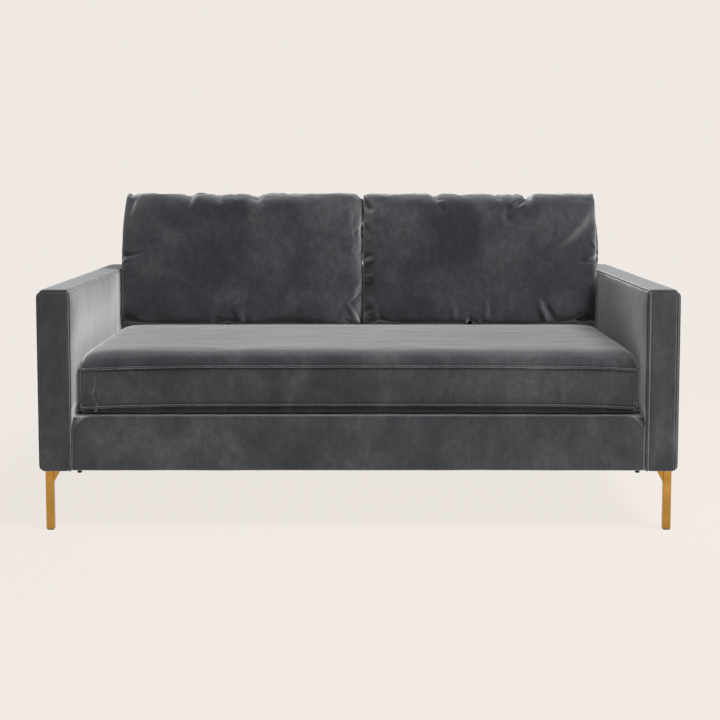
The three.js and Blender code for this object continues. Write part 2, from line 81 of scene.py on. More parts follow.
# Places that the CAD nodes give
arm_low, arm_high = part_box("arm_cover_right")
back_low, back_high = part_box("back_cover")
rail_low, rail_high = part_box("front_rail_cover")
deck_low, deck_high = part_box("deck_pad")
seat_low, seat_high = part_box("seat_cushion_cover")
post_low, post_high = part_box("arm_front_post_right")
top_rail_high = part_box("arm_top_rail_right")[1]
webbing_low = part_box("back_webbing")[0]
cushion_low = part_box("back_cushion_left_cover")[0]
ZIP_FRONT_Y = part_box("back_cushion_left_zip")[0].y - 4 * MM
CUSHION_FRONT_Y, SEAT_TOP = cushion_low.y, seat_high.z
ARM_INNER, ARM_OUTER = arm_low.x, arm_high.x
FRONT, REAR = arm_low.y, arm_high.y
ARM_TOP, UNDERSIDE = arm_high.z, arm_low.z
DECK, DECK_BOTTOM = deck_high.z, deck_low.z
CAVITY_X = (post_low.x - FIT, post_high.x + FIT)
CAVITY_Y = post_low.y - FIT
CAVITY_TOP = top_rail_high.z + FIT
BACK_CAVITY_Y = webbing_low.y - FIT

# Padded covers: seams, puffed panels, and waves and gathers of the cloth
SEAM_DEPTH = 2.8 * MM
SEAM_WIDTH = 1.4 * MM
PANEL_PUFF = 1.4 * MM
PUFF_REACH = 14 * MM
END_PUFF_REACH = 9 * MM
STITCH_SETBACK = 11.0 * MM
STITCH_DEPTH = 1.9 * MM
STITCH_WIDTH = 1.2 * MM
CORD_SETBACK = 5.0 * MM
CORD_RISE = 2.1 * MM
CORD_WIDTH = 2.6 * MM
FRONT_SEAM_DROP = 7.0 * MM
SIDE_SEAM_DROP = 3.5 * MM
GATHER_SIZE = 12 * MM
END_GATHER = 1.2
INNER_GATHER = 1.5
TOP_GATHER = 0.8
END_GATHER_REACH = 8 * MM
SIDE_GATHER_REACH = 9 * MM
TOP_GATHER_REACH = 16 * MM
WAVE_REACH = 25 * MM
WAVE_MARGIN = 4 * MM
OUTER_SWELL = 3.0 * MM

# Arms: grid, edge radii along X, Y and Z, and the inner panel's swell where nothing presses it
ARM_CELL = (9 * MM, 7 * MM, 9 * MM)
ARM_FINE_DROP = 16 * MM
ARM_LOW_RADII = (6 * MM, 7 * MM, 3 * MM)
ARM_HIGH_RADII = (12 * MM, 7 * MM, 8 * MM)
ARM_EDGE_RADIUS = 22 * MM
ARM_FRONT_RADIUS = 11 * MM
ARM_FRONT_REACH = 25 * MM
ARM_FOOT_RADIUS = 14 * MM
OUTER_LEAN = (14 * MM, 18 * MM)
INNER_LEAN = (36 * MM, 24 * MM)
INNER_SWELL = 6.0 * MM
INNER_ROLL = 6.0 * MM
BARE_RISE = 110 * MM
BARE_RUN = 150 * MM
PRESSED_FROM = 30 * MM
PRESSED_TO = 20 * MM
PRESSED_SHARE = 0.75

# Front rail: it dips and rolls at the arms, and sinks behind its front edge
RAIL_CELL = (12 * MM, 8 * MM, 9 * MM)
RAIL_FINE_STEPS = (3 * MM, 2 * MM, 2 * MM)
RAIL_FINE_REACHES = (24 * MM, 24 * MM, 16 * MM)
RAIL_LOW_RADII = (1.5 * MM, 13 * MM, 5 * MM)
RAIL_HIGH_RADII = (1.5 * MM, 4 * MM, 5 * MM)
RAIL_END_REACH = 26 * MM
RAIL_END_DIP = 7 * MM
RAIL_END_ROLL = 25 * MM
RAIL_PUFF_REACH = 20 * MM
RAIL_SINK = 8 * MM
RAIL_SINK_FROM = 3 * MM
RAIL_SINK_TO = 17 * MM

# Back
BACK_CELL = (12 * MM, 10 * MM, 10 * MM)
BACK_END_REACH = 12 * MM
BACK_FINE_STEP = 3 * MM
BACK_RADII = (3 * MM, 7 * MM, 8 * MM)
BACK_SWELL_REACH = 20 * MM
BACK_END_MARGIN = 6 * MM
BACK_RAKE_RUN = 30 * MM
BACK_RAKE_HEIGHT = 350 * MM

# Deck and dust cover
DECK_CELL = 14 * MM
DECK_SEAM_DROP = 3 * MM
DECK_RADII = (2.5 * MM, 2.5 * MM, 2.5 * MM)
DECK_HOLLOW = 1.5 * MM
DECK_HOLLOW_SIZE = 120 * MM
CAMBRIC_CELL = 25 * MM
CAMBRIC_THICKNESS = 0.6 * MM
CAMBRIC_SAG = 0.5 * MM
CAMBRIC_WAVE_SIZE = 140 * MM
CAMBRIC_SAG_REACH = 60 * MM
HEM_WIDTH = 12 * MM
HEM_REACH = 3 * MM
HEM_DROP = 0.6 * MM
STAPLE_INSET = 6 * MM
STAPLE_PITCH = 45 * MM
STAPLE_PROUD = 0.1 * MM
STAPLE_HALF_SIZE = (5.0 * MM, 0.6 * MM, 0.3 * MM)

# Seat cushion, as sewn. Its grid has a step, and a reach and step near the seams, as shares
# of its half sizes
SEAT_GRID = ((0.011, 0.036, 0.003), (0.022, 0.08, 0.0066), (0.09, 0.18, 0.028))
SEAT_SHIFT_X = 2 * MM
SEAT_HALF_WIDTH = 783 * MM
SEAT_CROWN = 43 * MM
SEAT_FRONT_SLOPE = 0.85
SEAT_ROLL = 11 * MM
SEAT_LOWER_RISE = 25 * MM
SEAT_EDGE_RISE = 19 * MM
SEAT_EDGE_REACH = 14 * MM
SEAT_BOXING = 106 * MM
SEAT_CORNER_DROP = 10 * MM
SEAT_CORNER_ROUNDING = 9 * MM
SEAT_BULGE = 3 * MM
SEAT_REAR_INSET = 1.2 * MM
SEAT_CENTRE_Y = (seat_low.y + seat_high.y) / 2
SEAT_HALF_DEPTH = (seat_high.y - seat_low.y) / 2 - SEAT_REAR_INSET
SEAT_LOWER_POWER = 6
SEAT_FRONT_DIP = 4 * MM
SLIDER_ROOM = 1.5 * MM
SLIDER_ROOM_WIDTH = 20 * MM
SLIDER_SETBACK = 8 * MM
WELT_RADIUS = 2.9 * MM
WELT_STANDOFF = 2.9 * MM
WELT_SIDES = 8
WELT_CORNER_SHARE = 0.9
WELT_POINTS = (24, 160)
WELT_SLANT = 0.7
WELT_WAVE = 0.7 * MM
WELT_WAVE_SIZE = 45 * MM

# Grooves beside the seat's seams: depth and width
TOP_GROOVE = (2.4 * MM, 4 * MM)
BOTTOM_GROOVE = (1.5 * MM, 5 * MM)
FRONT_GROOVE = (4.0 * MM, 2.6 * MM)
SIDE_GROOVE = (2.0 * MM, 4 * MM)

# The seat's slack cloth: sizes of its waves, and how far from the seams they reach
SEAT_WAVE = 1.8 * MM
SEAT_WAVE_SIZE = 160 * MM
SEAT_GATHER_SIZE = 20 * MM
SEAT_GATHER_REACH = 30 * MM
SEAT_STREAK_SIZE = 26 * MM
SEAT_STREAK_REACH = 60 * MM
SEAT_DENT = 2.2 * MM
SEAT_DENT_SIZE = 75 * MM
SEAT_DENT_PLACE = 70 * MM
SEAT_DENT_REACH = 45 * MM
SEAT_STILL_SHARE = 0.9
SEAT_STILL_FROM = 20 * MM
SEAT_STILL_TO = 30 * MM
BOXING_WAVE = 1.0 * MM
BOXING_WAVE_SIZE = 90 * MM

# The seam in the front boxing: how it sways with its level, in mm, and its ledge and groove
BOXING_JOIN_X = -737 * MM
JOIN_REACH = 0.02
JOIN_STEP = 0.0025
JOIN_SWAYS = ((-14, -6, 13), (-50, 7, 12))
JOIN_LEDGE = 5.0 * MM
JOIN_LEDGE_WIDTH = 16 * MM
JOIN_EDGE = 1.0 * MM
JOIN_GROOVE = 2.4 * MM
JOIN_GROOVE_SETBACK = 3 * MM

# Slack folds in the front boxing: place in mm, lean, then level, length and height in mm
BOXING_FOLDS = (
    (-596, 0.16, -6, 96, 4.2), (-468, 0.04, -18, 62, 5.0), (-330, -0.05, 8, 80, 2.6),
    (-120, 0.10, -20, 50, 2.2), (250, -0.12, -6, 70, 2.6), (560, 0.08, -10, 80, 3.2),
)
FOLD_SHARP = 2.6 * MM
FOLD_SOFT = 10 * MM

# Back cushions: the finished cushion, and the flat panels that it is sewn from
CUSHION_TILT = -math.atan2(BACK_RAKE_RUN, BACK_RAKE_HEIGHT)
CUSHION_CENTRE_Y = 258.8 * MM
CUSHION_CENTRE_Z = 709.8 * MM
CUSHION_HALF_HEIGHT = 224 * MM
CUSHION_MEETING_X = 11 * MM
CUSHION_REACH_X = {"left": 789 * MM, "right": 794 * MM}
CUSHION_DEPTH = (96 * MM, 87 * MM)
EDGE_FULLNESS = 0.45
OUTER_SPRING = 66 * MM
MEETING_SPRING = 6 * MM
MEETING_WAVE = 9 * MM
MEETING_WAVE_WIDTH = 30 * MM
MEETING_CLEARANCE = 0.8 * MM
MEETING_SPRING_REACH = 60 * MM
OUTER_SPRING_START = 500 * MM
OUTER_SPRING_SHARE = 0.75
CUSHION_OVERHANG = {"left": 2 * MM, "right": 8 * MM}
OVERHANG_FROM = -5 * MM
OVERHANG_TO = 45 * MM
CUSHION_TOP_TAPER = 12 * MM
TAPER_FROM = 60 * MM
TAPER_TO = 240 * MM
OUTER_SOFTNESS = 3 * MM
MEETING_SOFTNESS = 1 * MM
CUSHION_CLEARANCE = 2.5 * MM
OUTER_ROLL = 20 * MM
MEETING_ROLL = 52 * MM
TOP_ROLL = 40 * MM
ROLL_SHARE = 0.72
OUTER_ROLL_SHARE = 0.3
EAR_RADIUS = 10 * MM
EAR_SHARE = 0.96
EAR_LEVEL = 200 * MM
EDGE_BAND = 20 * MM
STRETCH_X = (40 * MM, 280 * MM)
STRETCH_Z = (-120 * MM, 70 * MM)
PATTERN_CORNER = (394 * MM, 221 * MM)
PATTERN_MIDDLE = (428 * MM, 272 * MM)
PATTERN_ROUNDING = 12 * MM
PATTERN_CELLS = (112, 64)
ZIP_SETBACK = 20 * MM
ZIP_LEVEL = -221.7 * MM
ZIP_STRIP = 6 * MM
ZIP_STRIP_RISE = 0.5 * MM
ZIP_HELD_SHARE = 0.9
FOAM_SHARE = (0.955, 0.80, 0.93)

# Cloth simulation: the shape that it starts from, and where it stops
STUFFED_HALF_WIDTH = 390 * MM
STUFFED_HALF_HEIGHT = 220 * MM
STUFFED_HALF_DEPTH = 78 * MM
STUFFED_UNEVENNESS = 6 * MM
STUFFED_VOLUME = 0.040
CLOTH_STEPS = 16

# How a cushion's lower edge rolls out over the seat, from its middle
SETTLE_BAND = (90 * MM, 185 * MM)
SETTLE_DEPTH_BAND = (-15 * MM, 30 * MM)
SETTLE_FORWARD = 26 * MM
SETTLE_HALF_WIDTH = 396 * MM
SETTLE_END_REACH = 30 * MM
SETTLE_ROLL = 24 * MM
SETTLE_ROLL_LEVEL = 178 * MM
SETTLE_ROLL_WIDTH = 34 * MM
CORNER_SAG = 22 * MM
CORNER_SAG_BAND = (320 * MM, 390 * MM)

# Gathers along a cushion's seams, and the slack of its cloth
SEAM_HALF_WIDTH = 400 * MM
SEAM_HALF_HEIGHT = 222 * MM
SEAM_GATHER = 2.6 * MM
LOWER_GATHER = 2.0 * MM
TOP_GATHER_SIZE = 15 * MM
TOP_GATHER_FADE = 20 * MM
SIDE_GATHER_SIZE = 14 * MM
SIDE_GATHER_FADE = 16 * MM
CUSHION_SLACK = 2.2 * MM
CUSHION_SLACK_SIZE = 110 * MM

# Legs: how their edges are eased
LEG_BEVEL = 0.9 * MM
MERGE_DISTANCE = 0.01 * MM
FLAT_ANGLE = math.radians(2)
BEVEL_ANGLE = math.radians(50)

# Waves of the back cushions' top seams: place along the cushion, rise and width, in mm
TOP_WAVES = {
    "left": ((-380, 6, 13), (-356, -6, 11), (-277, 4, 45), (-179, -8, 22), (-87, -6, 26), (41, -8, 24),
             (285, 4, 80), (392, -12, 11)),
    "right": ((-392, -14, 11), (-350, 3, 30), (-147, -8, 14), (63, -5, 30), (124, -6, 26), (165, -18, 13),
              (384, 8, 16)),
}
# Waves of their lower edges, in the same form
BOTTOM_WAVES = {
    "left": ((-340, 4, 14), (-48, 7, 14), (30, -5, 30), (215, -4, 30)),
    "right": ((-332, 4, 16), (-34, 13, 9), (60, -5, 30), (150, -4, 24), (262, 4, 20)),
}
# Folds of their front panels: path from the cushion's middle, half width and height, in mm
FOLDS = {
    "left": (
        (((-408, 15), (-354, 15), (-306, 27)), 6, -7.0),
        (((-340, 10), (-364, -2), (-378, -30), (-385, -86)), 7, 6.5),
        (((-398, -14), (-392, -60)), 8, -5.5),
        (((-362, 232), (-350, 196), (-356, 150)), 7, -7.0),
        (((-179, 232), (-170, 205), (-174, 172)), 10, -8.5),
        (((-140, 232), (-150, 195)), 12, 4.0),
        (((-87, 232), (-80, 205), (-62, 188)), 9, -7.0),
        (((41, 232), (52, 205), (78, 178)), 10, -8.5),
        (((0, 225), (-14, 190)), 14, 4.0),
        (((250, 232), (258, 205)), 8, -4.0),
        (((-36, -120), (-16, -160), (2, -214)), 11, 7.0),
        (((16, -140), (14, -180), (18, -216)), 8, -7.0),
        (((-60, -190), (-100, -205)), 10, -5.0),
        (((-385, -190), (-340, -182), (-300, -206)), 10, -8.5),
        (((-368, -208), (-345, -200)), 7, 5.5),
        (((-300, -196), (-250, -206)), 9, 4.0),
        (((412, 22), (376, 24), (356, 40)), 5, -7.5),
        (((372, 60), (362, 34), (380, 4)), 6, 5.5),
        (((386, 196), (356, 170), (350, 130)), 9, 5.5),
        (((400, 168), (374, 150), (366, 112)), 6, -5.5),
        (((398, 110), (372, 96), (378, 66)), 6, -5.0),
        (((398, -60), (372, -96), (346, -110)), 9, 5.5),
        (((400, -96), (378, -128), (352, -152)), 7, -6.5),
        (((346, -140), (366, -176), (390, -222)), 5, 7.0),
        (((360, -140), (380, -178), (398, -214)), 4, -7.0),
        (((330, -196), (362, -208), (388, -216)), 6, -5.5),
        (((250, -214), (310, -206), (350, -196)), 8, 4.0),
    ),
    "right": (
        (((410, 232), (360, 178), (317, 122), (268, 74), (190, 18)), 24, 13.0),
        (((412, 178), (350, 118), (300, 62), (230, 4)), 22, -9.0),
        (((396, 206), (384, 176), (388, 130)), 7, -7.0),
        (((165, 232), (146, 196), (112, 176)), 8, -12.5),
        (((142, 232), (118, 198), (98, 176)), 9, 7.0),
        (((182, 222), (158, 190), (120, 166)), 8, 5.5),
        (((100, 184), (90, 150), (94, 108)), 12, -8.5),
        (((124, 160), (122, 120)), 12, 4.0),
        (((63, 232), (70, 196)), 10, -5.5),
        (((-160, 226), (-142, 198), (-122, 204)), 5, -7.0),
        (((-150, 206), (-128, 190), (-112, 196)), 5, 5.0),
        (((-132, 186), (-120, 150)), 10, -4.0),
        (((412, 10), (386, 12), (350, -4), (300, -6)), 6, -7.5),
        (((352, 66), (372, 40), (392, 18)), 6, 6.5),
        (((318, -8), (352, 14), (386, 26)), 7, 5.0),
        (((376, -10), (350, -40), (346, -84)), 12, 6.5),
        (((398, -20), (376, -60), (372, -110)), 9, -5.0),
        (((176, -124), (186, -162), (206, -212)), 6, 8.0),
        (((192, -124), (206, -162), (226, -206)), 6, -8.0),
        (((180, -120), (206, -140)), 10, -4.0),
        (((262, -212), (300, -188), (326, -212)), 9, -10.0),
        (((276, -176), (318, -160)), 10, 4.0),
        (((340, -216), (366, -192), (388, -212)), 7, -8.5),
        (((376, -216), (392, -190)), 6, 6.5),
        (((-30, -232), (-28, -202)), 9, -11.0),
        (((-52, -216), (-44, -196)), 7, 5.5),
        (((-12, -204), (6, -212)), 6, 5.5),
        (((-95, -120), (-92, -165), (-86, -206)), 9, 4.0),
        (((-72, -130), (-70, -200)), 8, -3.5),
        (((17, -120), (19, -165), (18, -205)), 8, 4.0),
        (((36, -130), (34, -200)), 8, -3.5),
        (((-412, 4), (-378, 8), (-352, 20)), 6, -7.0),
        (((-392, -14), (-366, -6), (-344, 2)), 6, 5.0),
        (((-412, -78), (-380, -72), (-350, -86)), 6, -7.0),
        (((-390, -56), (-362, -58), (-346, -40)), 7, 5.0),
        (((-412, -168), (-384, -172), (-352, -160)), 6, -7.0),
        (((-412, -192), (-382, -188), (-350, -206)), 5, 7.0),
        (((-366, -120), (-346, -160), (-352, -214)), 9, 5.0),
        (((-334, -150), (-330, -210)), 8, -4.0),
        (((-392, 214), (-372, 186), (-352, 160)), 8, -10.0),
        (((-360, 206), (-338, 172), (-332, 120)), 12, 5.0),
        (((-398, 120), (-372, 104), (-360, 70)), 8, -5.0),
    ),
}


# Mesh helpers
def add_mesh(name, points, faces):
    """A smooth-shaded object from points and faces."""
    mesh = bpy.data.meshes.new(name)
    mesh.from_pydata(np.asarray(points).tolist(), [], np.asarray(faces).tolist())
    mesh.shade_smooth()
    piece = bpy.data.objects.new(name, mesh)
    bpy.context.scene.collection.objects.link(piece)
    return piece


def apply_modifiers(piece):
    """Replaces the piece's mesh by the one that its modifiers make."""
    graph = bpy.context.evaluated_depsgraph_get()
    mesh = bpy.data.meshes.new_from_object(piece.evaluated_get(graph))
    piece.modifiers.clear()
    piece.data = mesh


def grid_lines(low, high, step, fine=(), reach=FINE_REACH, fine_step=FINE_STEP):
    """Places from low to high, a step apart, and close together round each fine place."""
    coarse = np.linspace(low, high, max(2, round((high - low) / step) + 1))
    for place in fine:
        apart = np.abs(coarse - place) >= reach
        apart[[0, -1]] = True
        coarse = coarse[apart]
    near = [np.arange(place - reach, place + reach, fine_step) for place in fine]
    every = np.unique(np.concatenate([coarse, *near]))
    every = every[(every >= low) & (every <= high)]
    apart = np.concatenate([[True], np.diff(every) > 0.4 * fine_step])
    every = every[apart]
    every[-1] = high
    return every


def grid_quads(number, flip=False):
    """Quads of a grid of point numbers."""
    quads = np.stack([number[:-1, :-1], number[1:, :-1], number[1:, 1:], number[:-1, 1:]], -1)
    quads = quads.reshape(-1, 4)
    return quads[:, ::-1] if flip else quads


def box_surface(xs, ys, zs):
    """Points and outward quads of a box's surface, with a grid line at each given place."""
    shape = (len(xs), len(ys), len(zs))
    outside = np.zeros(shape, bool)
    outside[[0, -1]] = True
    outside[:, [0, -1]] = True
    outside[:, :, [0, -1]] = True
    number = np.full(shape, -1)
    number[outside] = np.arange(outside.sum())
    i, j, k = np.nonzero(outside)
    quads = [
        grid_quads(number[:, :, 0], True), grid_quads(number[:, :, -1]),
        grid_quads(number[:, 0, :]), grid_quads(number[:, -1, :], True),
        grid_quads(number[0], True), grid_quads(number[-1]),
    ]
    return np.column_stack([xs[i], ys[j], zs[k]]), np.concatenate(quads)


def round_edges(points, low, high, low_radius, high_radius):
    """Rounds a box's edges. Returns the moved points and their outward directions."""
    low, high = np.asarray(low), np.asarray(high)
    low_radius, high_radius = np.asarray(low_radius), np.asarray(high_radius)
    core = np.clip(points, low + low_radius, high - high_radius)
    away = points - core
    radius = np.where(away < 0, low_radius, high_radius)
    share = away / radius
    unit = share / np.linalg.norm(share, axis=1, keepdims=True)
    outward = unit / radius
    outward /= np.linalg.norm(outward, axis=1, keepdims=True)
    return core + unit * radius, outward


def round_corner(points, edge_x, edge_z, signs, radius):
    """Rounds a square edge along Y to a quarter circle. The signs tell where it is, in X and in Z."""
    signs = np.array(signs)
    corner = np.array([edge_x, edge_z]) - signs * radius
    beyond = np.maximum((points[:, [0, 2]] - corner) * signs, 0)
    inside = beyond.min(1) > 0
    share = beyond[inside].max(1) / np.linalg.norm(beyond[inside], axis=1)
    places = corner + beyond[inside] * share[:, None] * signs
    points[inside, 0] = places[:, 0]
    points[inside, 2] = places[:, 1]


def valley(distance, width=SEAM_WIDTH):
    """1 at a seam, 0 away from it."""
    return np.exp(-((distance / width) ** 2))


def swell(distance, reach):
    """0 at a seam, rising to 1 well away from it."""
    return 1 - np.exp(-np.maximum(distance, 0) / reach)


def smooth_step(value, start, end):
    """0 up to the start, 1 from the end on, and a smooth rise between."""
    share = np.clip((value - start) / (end - start), 0, 1)
    return share * share * (3 - 2 * share)


def ripple(points, size, seed, stretch=(1, 1, 1)):
    """Smooth noise from -1 to 1, with features of about the given size."""
    places = np.asarray(points) / (size * np.asarray(stretch))
    shift = Vector((7.31, 3.17, 5.53)) * seed
    return np.array([noise.noise(Vector(place) + shift) for place in places])


def surface_waves(points, *layers):
    """Layers of smooth noise, each a height in mm, a size and a seed."""
    return sum(height * ripple(points, size, seed) for height, size, seed in layers) * MM


def wave_height(waves, x):
    """Height of a waved line, from each wave's place, rise and width in mm."""
    return sum(rise * MM * valley(x - place * MM, width * MM) for place, rise, width in waves)


def groove(distance, depth, width):
    """A groove's depth at a distance from it."""
    return depth * np.exp(-distance / width)


def mirror_x(points, faces):
    """The mirror image in X, with its faces turned outward again."""
    points = points.copy()
    points[:, 0] *= -1
    return points, faces[:, ::-1]


def cut_block(piece, low, high):
    """Cuts the block between two corners out of the piece."""
    ends = [np.array(sorted(pair)) for pair in zip(low, high)]
    cutter = add_mesh("cutter", *box_surface(*ends))
    cut = piece.modifiers.new("cut", "BOOLEAN")
    cut.operation = "DIFFERENCE"
    cut.solver = "EXACT"
    cut.object = cutter
    apply_modifiers(piece)
    bpy.data.objects.remove(cutter)


def set_material(piece, material):
    """Gives the whole piece one material."""
    piece.data.materials.clear()
    piece.data.materials.append(material)


def finish_piece(piece, material, slot, body, *nodes, fill=None):
    """Gives a piece its material, hangs it on its body's empty, and hides the CAD nodes that it replaces."""
    set_material(piece, material)
    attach(piece, body)
    if nodes:
        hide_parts(*nodes)


# Materials
def new_material(name, color, roughness, metallic=0.0):
    """A material, its shader and its node tree."""
    material = bpy.data.materials.new(name)
    material.use_nodes = True
    shader = material.node_tree.nodes["Principled BSDF"]
    shader.inputs["Base Color"].default_value = (*color, 1)
    shader.inputs["Roughness"].default_value = roughness
    shader.inputs["Metallic"].default_value = metallic
    return material, shader, material.node_tree


def add_noise(tree, scale, detail=3.0, stretch=(1, 1, 1), distortion=0.0):
    """Noise in the piece's own coordinates."""
    where = tree.nodes.new("ShaderNodeTexCoord")
    mapping = tree.nodes.new("ShaderNodeMapping")
    mapping.inputs["Scale"].default_value = stretch
    texture = tree.nodes.new("ShaderNodeTexNoise")
    texture.inputs["Scale"].default_value = scale
    texture.inputs["Detail"].default_value = detail
    texture.inputs["Distortion"].default_value = distortion
    tree.links.new(where.outputs["Object"], mapping.inputs["Vector"])
    tree.links.new(mapping.outputs["Vector"], texture.inputs["Vector"])
    return texture.outputs["Fac"]


def add_waves(tree, scale, axis, distortion=0.0):
    """Even bands across an axis of the piece's own coordinates."""
    where = tree.nodes.new("ShaderNodeTexCoord")
    wave = tree.nodes.new("ShaderNodeTexWave")
    wave.bands_direction = axis
    wave.inputs["Scale"].default_value = scale
    wave.inputs["Distortion"].default_value = distortion
    wave.inputs["Detail"].default_value = 1.0
    tree.links.new(where.outputs["Object"], wave.inputs["Vector"])
    return wave.outputs["Fac"]


def add_ramp(tree, value, *stops):
    """Maps a value through colours at given places."""
    ramp = tree.nodes.new("ShaderNodeValToRGB")
    elements = ramp.color_ramp.elements
    while len(elements) < len(stops):
        elements.new(0.5)
    for element, (place, color) in zip(elements, stops):
        element.position = place
        element.color = (*color, 1)
    tree.links.new(value, ramp.inputs["Fac"])
    return ramp.outputs["Color"]


def add_math(tree, operation, first, second):
    """A sum or product of two values, each a socket or a number."""
    node = tree.nodes.new("ShaderNodeMath")
    node.operation = operation
    for socket, value in zip(node.inputs, (first, second)):
        if isinstance(value, (int, float)):
            socket.default_value = value
        else:
            tree.links.new(value, socket)
    return node.outputs["Value"]


def multiply_colors(tree, first, second):
    """The product of two colours."""
    mix = tree.nodes.new("ShaderNodeVectorMath")
    mix.operation = "MULTIPLY"
    tree.links.new(first, mix.inputs[0])
    tree.links.new(second, mix.inputs[1])
    return mix.outputs["Vector"]


def add_bumps(tree, shader, *heights):
    """Chains bumps, each a value and its height in metres, into the shader's normal."""
    normal = None
    for value, height in heights:
        bump = tree.nodes.new("ShaderNodeBump")
        bump.inputs["Strength"].default_value = 1.0
        bump.inputs["Distance"].default_value = height
        tree.links.new(value, bump.inputs["Height"])
        if normal is not None:
            tree.links.new(normal, bump.inputs["Normal"])
        normal = bump.outputs["Normal"]
    tree.links.new(normal, shader.inputs["Normal"])


def gray(level):
    """A grey, as three equal parts."""
    return (level, level, level)


def make_velvet():
    """Charcoal velvet: a dark ground, a strong sheen, brushed patches and a fine nap."""
    material, shader, tree = new_material("velvet", (0.028, 0.029, 0.033), 0.75)
    shader.inputs["Specular IOR Level"].default_value = 0.0
    shader.inputs["Sheen Weight"].default_value = 1.0
    shader.inputs["Sheen Roughness"].default_value = 0.5
    shader.inputs["Sheen Tint"].default_value = (0.98, 0.99, 1.0, 1)
    patches = add_noise(tree, scale=7.0, detail=5.0, stretch=(1.0, 1.0, 0.8), distortion=0.6)
    brushed = add_noise(tree, scale=16.0, stretch=(0.35, 1.0, 1.0), distortion=0.3)
    nap = add_noise(tree, scale=260.0)
    mottle = add_noise(tree, scale=60.0, stretch=(1.0, 1.0, 0.7), distortion=0.4)
    ground = add_ramp(tree, patches, (0.32, (0.014, 0.015, 0.019)), (0.50, (0.026, 0.027, 0.032)),
                      (0.68, (0.044, 0.045, 0.050)))
    speckle = add_ramp(tree, nap, (0.30, gray(0.75)), (0.70, gray(1.25)))
    marks = add_ramp(tree, mottle, (0.32, gray(0.80)), (0.68, gray(1.20)))
    tone = multiply_colors(tree, multiply_colors(tree, ground, marks), speckle)
    tree.links.new(tone, shader.inputs["Base Color"])
    add_bumps(tree, shader, (patches, 3 * MM), (brushed, 0.5 * MM), (mottle, 0.8 * MM), (nap, 0.3 * MM))
    return material


def make_brass():
    """Satin brass with a fine lengthwise brushing, darker toward the foot."""
    material, shader, tree = new_material("satin_brass", (0.56, 0.29, 0.06), 0.32, 1.0)
    grain = add_noise(tree, scale=40.0, detail=4.0, stretch=(25.0, 25.0, 0.5))
    smudges = add_noise(tree, scale=22.0, detail=4.0)
    tone = add_ramp(tree, smudges, (0.3, (0.48, 0.25, 0.05)), (0.7, (0.62, 0.34, 0.075)))
    where = tree.nodes.new("ShaderNodeTexCoord")
    split = tree.nodes.new("ShaderNodeSeparateXYZ")
    tree.links.new(where.outputs["Object"], split.inputs["Vector"])
    rise = add_math(tree, "MULTIPLY", split.outputs["Z"], 1 / UNDERSIDE)
    foot = add_ramp(tree, rise, (0.0, gray(0.74)), (0.75, gray(1.0)))
    tree.links.new(multiply_colors(tree, tone, foot), shader.inputs["Base Color"])
    rough = add_ramp(tree, smudges, (0.3, gray(0.26)), (0.7, gray(0.42)))
    tree.links.new(rough, shader.inputs["Roughness"])
    add_bumps(tree, shader, (grain, 0.06 * MM))
    return material


def make_wood():
    """Planed pine, with rings that run along the timber."""
    material, shader, tree = new_material("planed_pine", (0.55, 0.38, 0.22), 0.6)
    rings = add_noise(tree, scale=9.0, detail=5.0, stretch=(0.5, 4.0, 4.0), distortion=1.2)
    pores = add_noise(tree, scale=60.0, stretch=(0.3, 6.0, 6.0))
    tone = add_ramp(tree, rings, (0.35, (0.40, 0.25, 0.12)), (0.55, (0.60, 0.43, 0.26)),
                    (0.75, (0.70, 0.53, 0.34)))
    tree.links.new(tone, shader.inputs["Base Color"])
    add_bumps(tree, shader, (pores, 0.3 * MM), (rings, 0.3 * MM))
    return material


def make_foam():
    """Cream upholstery foam with small open cells."""
    material, shader, tree = new_material("foam", (0.78, 0.72, 0.52), 0.95)
    cells = add_noise(tree, scale=420.0, detail=2.0)
    shade = add_noise(tree, scale=6.0, detail=2.0)
    tone = add_ramp(tree, shade, (0.3, (0.74, 0.66, 0.44)), (0.7, (0.82, 0.76, 0.58)))
    tree.links.new(tone, shader.inputs["Base Color"])
    add_bumps(tree, shader, (cells, 0.8 * MM))
    return material


def make_steel():
    """Zinc-plated spring wire."""
    material, shader, tree = new_material("spring_steel", (0.45, 0.46, 0.48), 0.38, 1.0)
    stains = add_noise(tree, scale=30.0, detail=4.0)
    tone = add_ramp(tree, stains, (0.3, (0.30, 0.31, 0.33)), (0.7, (0.55, 0.56, 0.58)))
    tree.links.new(tone, shader.inputs["Base Color"])
    add_bumps(tree, shader, (stains, 0.1 * MM))
    return material


def make_woven(name, dark, light, thread, height):
    """A plain weave, from even bands across all three axes, with threads of the given width."""
    material, shader, tree = new_material(name, light, 0.9)
    weave = None
    for axis in ("X", "Y", "Z"):
        bands = add_waves(tree, 0.5 / thread, axis, distortion=0.4)
        weave = bands if weave is None else add_math(tree, "MAXIMUM", weave, bands)
    wear = add_noise(tree, scale=14.0, detail=4.0)
    tone = add_ramp(tree, add_math(tree, "MULTIPLY", weave, wear), (0.15, dark), (0.6, light))
    tree.links.new(tone, shader.inputs["Base Color"])
    add_bumps(tree, shader, (weave, height), (wear, 2 * height))
    return material


def make_moulded(name, color, roughness, metallic=0.0):
    """Moulded or plated stock with a fine uneven skin."""
    material, shader, tree = new_material(name, color, roughness, metallic)
    skin = add_noise(tree, scale=90.0, detail=4.0)
    darker = tuple(0.8 * part for part in color)
    lighter = tuple(min(1.0, 1.2 * part) for part in color)
    tone = add_ramp(tree, skin, (0.3, darker), (0.7, lighter))
    tree.links.new(tone, shader.inputs["Base Color"])
    rough = add_ramp(tree, skin, (0.3, gray(0.85 * roughness)), (0.7, gray(1.15 * roughness)))
    tree.links.new(rough, shader.inputs["Roughness"])
    add_bumps(tree, shader, (skin, 0.08 * MM))
    return material


